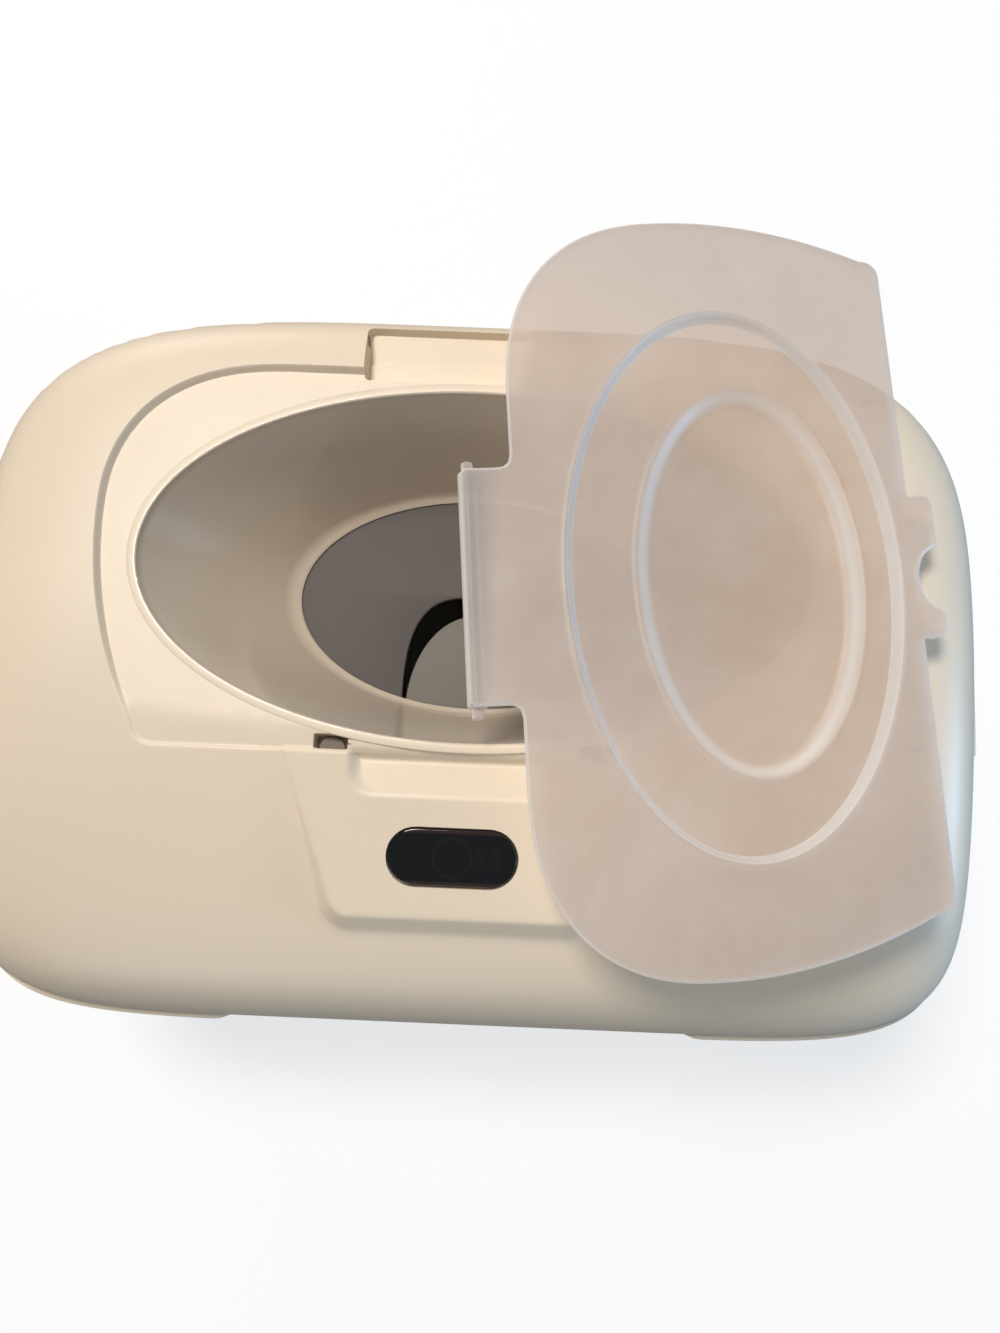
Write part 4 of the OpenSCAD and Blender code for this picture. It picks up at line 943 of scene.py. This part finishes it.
    # An L-shaped rib under the plate on each side of the press tab
    for s in (-1, 1):
        rib = [(s * 15.2, front + 0.4), (s * 38, front + 0.4), (s * 38, front + 7.4),
               (s * 36.8, front + 7.4), (s * 36.8, front + 1.6), (s * 15.2, front + 1.6)]
        rib = rounded(rib[::s], 0.3, 8)
        boolean(obj, piece("lid_rib", *prism(rib, -LID_T - 2.5, -LID_T + 0.5), None), "UNION")
    turn = Euler((math.radians(LID_LEAN[0]), math.radians(LID_LEAN[1]), 0), "XYZ").to_matrix().to_4x4()
    place = Matrix.Translation(Vector(LID_AT) * MM) @ turn @ Matrix.Rotation(math.radians(LID_TURN), 4, "Z")
    obj.data.transform(place)
    tidy(obj, 32)
    obj.data.materials.clear()
    obj.data.materials.append(FROST)
    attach(obj, "lid")
    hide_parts("flip_lid")


make_lid()

# Carried-over CAD nodes
for node, mat in {
    "liner_pan": LINER, "liner_seal": SEAL, "heat_spreader": SHEET_METAL, "heater_film": FILM,
    "insulation_foam": FOAM, "temperature_sensor": BLACK, "thermal_fuse": STEEL, "control_board": BOARD,
    "control_chip": BLACK, "buzzer": BLACK, "led_module": LEDS, "touch_contact": BRASS, "socket_nut": STEEL,
    "power_lead": WIRE_BLACK, "heater_lead": WIRE_RED, "liner_screws": STEEL, "board_screws": STEEL,
    "catch_posts": POST_IN_PAINTED_SHADE, "left_latch_spring": STEEL, "right_latch_spring": STEEL,
}.items():
    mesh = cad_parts[node].data
    mesh.materials.clear()
    mesh.materials.append(mat)

# Floor, light and camera
scene = bpy.context.scene


def make_floor():
    mesh = bpy.data.meshes.new("floor")
    size = 8.0
    mesh.from_pydata([(sx * size, sy * size, 0) for sx, sy in CORNERS], [], [(0, 1, 2, 3)])
    floor = bpy.data.objects.new("floor", mesh)
    scene.collection.objects.link(floor)
    mat = bpy.data.materials.new("floor_white")
    mat.use_nodes = True
    tree = mat.node_tree
    tree.nodes.clear()
    out = tree.nodes.new("ShaderNodeOutputMaterial")
    matte = tree.nodes.new("ShaderNodeBsdfDiffuse")
    light = tree.nodes.new("ShaderNodeEmission")
    light.inputs["Color"].default_value = (1, 1, 1, 1)
    path = tree.nodes.new("ShaderNodeLightPath")
    seen = path.outputs["Is Camera Ray"]
    tree.links.new(spread(tree, seen, 0.20, 0.32), matte.inputs["Color"])
    # Away from the object the floor's own white takes over from the lamp's falling light
    coord = tree.nodes.new("ShaderNodeTexCoord")
    far = tree.nodes.new("ShaderNodeVectorMath")
    far.operation = "LENGTH"
    tree.links.new(coord.outputs["Object"], far.inputs[0])
    white = spread(tree, far.outputs["Value"], 0.69, 1.0, (0.35, 1.8))
    tree.links.new(math_node(tree, "MULTIPLY", white, seen), light.inputs["Strength"])
    add = tree.nodes.new("ShaderNodeAddShader")
    tree.links.new(matte.outputs[0], add.inputs[0])
    tree.links.new(light.outputs[0], add.inputs[1])
    tree.links.new(add.outputs[0], out.inputs["Surface"])
    mesh.materials.append(mat)


make_floor()


def make_world():
    """A weak cool sky for the object, which the camera sees as plain white."""
    world = bpy.data.worlds.new("studio")
    scene.world = world
    world.use_nodes = True
    tree = world.node_tree
    tree.nodes.clear()
    out = tree.nodes.new("ShaderNodeOutputWorld")
    soft = tree.nodes.new("ShaderNodeBackground")
    soft.inputs["Color"].default_value = (0.84, 0.92, 1.0, 1)
    soft.inputs["Strength"].default_value = 0.18
    white = tree.nodes.new("ShaderNodeBackground")
    white.inputs["Color"].default_value = (1, 1, 1, 1)
    white.inputs["Strength"].default_value = 1.0
    path = tree.nodes.new("ShaderNodeLightPath")
    mix = tree.nodes.new("ShaderNodeMixShader")
    tree.links.new(path.outputs["Is Camera Ray"], mix.inputs[0])
    tree.links.new(soft.outputs[0], mix.inputs[1])
    tree.links.new(white.outputs[0], mix.inputs[2])
    tree.links.new(mix.outputs[0], out.inputs["Surface"])


make_world()


def area(name, where, aim, size, power_w, colour):
    data = bpy.data.lights.new(name, "AREA")
    data.shape = "RECTANGLE"
    data.size, data.size_y = size
    data.energy = power_w
    data.color = colour
    obj = bpy.data.objects.new(name, data)
    obj.location = where
    obj.rotation_euler = (Vector(aim) - Vector(where)).to_track_quat("-Z", "Y").to_euler()
    scene.collection.objects.link(obj)


area("key", (-0.30, 0.38, 1.33), (0, 0, 0.1), (0.38, 0.30), 14.0, (1.0, 0.93, 0.85))
area("cool", (1.1, -0.20, 0.26), (0, 0, 0.09), (0.4, 0.2), 6.8, (0.38, 0.66, 1.0))
area("back", (-0.55, 1.15, 0.35), (0, 0, 0.08), (0.5, 0.3), 3.0, (1.0, 0.97, 0.93))
area("front", (-0.35, -1.25, 0.24), (0, 0, 0.05), (0.8, 0.4), 2.6, (1.0, 0.97, 0.93))


def make_camera():
    """The camera solved from the photograph: its height and turn, place in metres and focal length."""
    el, az, roll = math.radians(81), math.radians(2), math.radians(0.391)
    place = (0.0081, -0.0371, 0.3525)
    focal_px, image_h = 1050.0, 1333.0
    back = np.array([math.sin(az) * math.cos(el), -math.cos(az) * math.cos(el), math.sin(el)])
    side = np.cross(-back, (0, 0, 1))
    side /= np.linalg.norm(side)
    up = np.cross(side, -back)
    x = math.cos(roll) * side + math.sin(roll) * up
    y = -math.sin(roll) * side + math.cos(roll) * up
    data = bpy.data.cameras.new("photo_camera")
    data.sensor_width = 36.0
    data.sensor_fit = "AUTO"
    data.lens = focal_px / image_h * data.sensor_width
    data.clip_start = 0.01
    cam = bpy.data.objects.new("photo_camera", data)
    m = Matrix.Identity(4)
    for i in range(3):
        m[i][0], m[i][1], m[i][2], m[i][3] = x[i], y[i], back[i], place[i]
    cam.matrix_world = m
    scene.collection.objects.link(cam)
    scene.camera = cam


make_camera()
scene.view_settings.view_transform = "Standard"

bpy.context.view_layer.update()
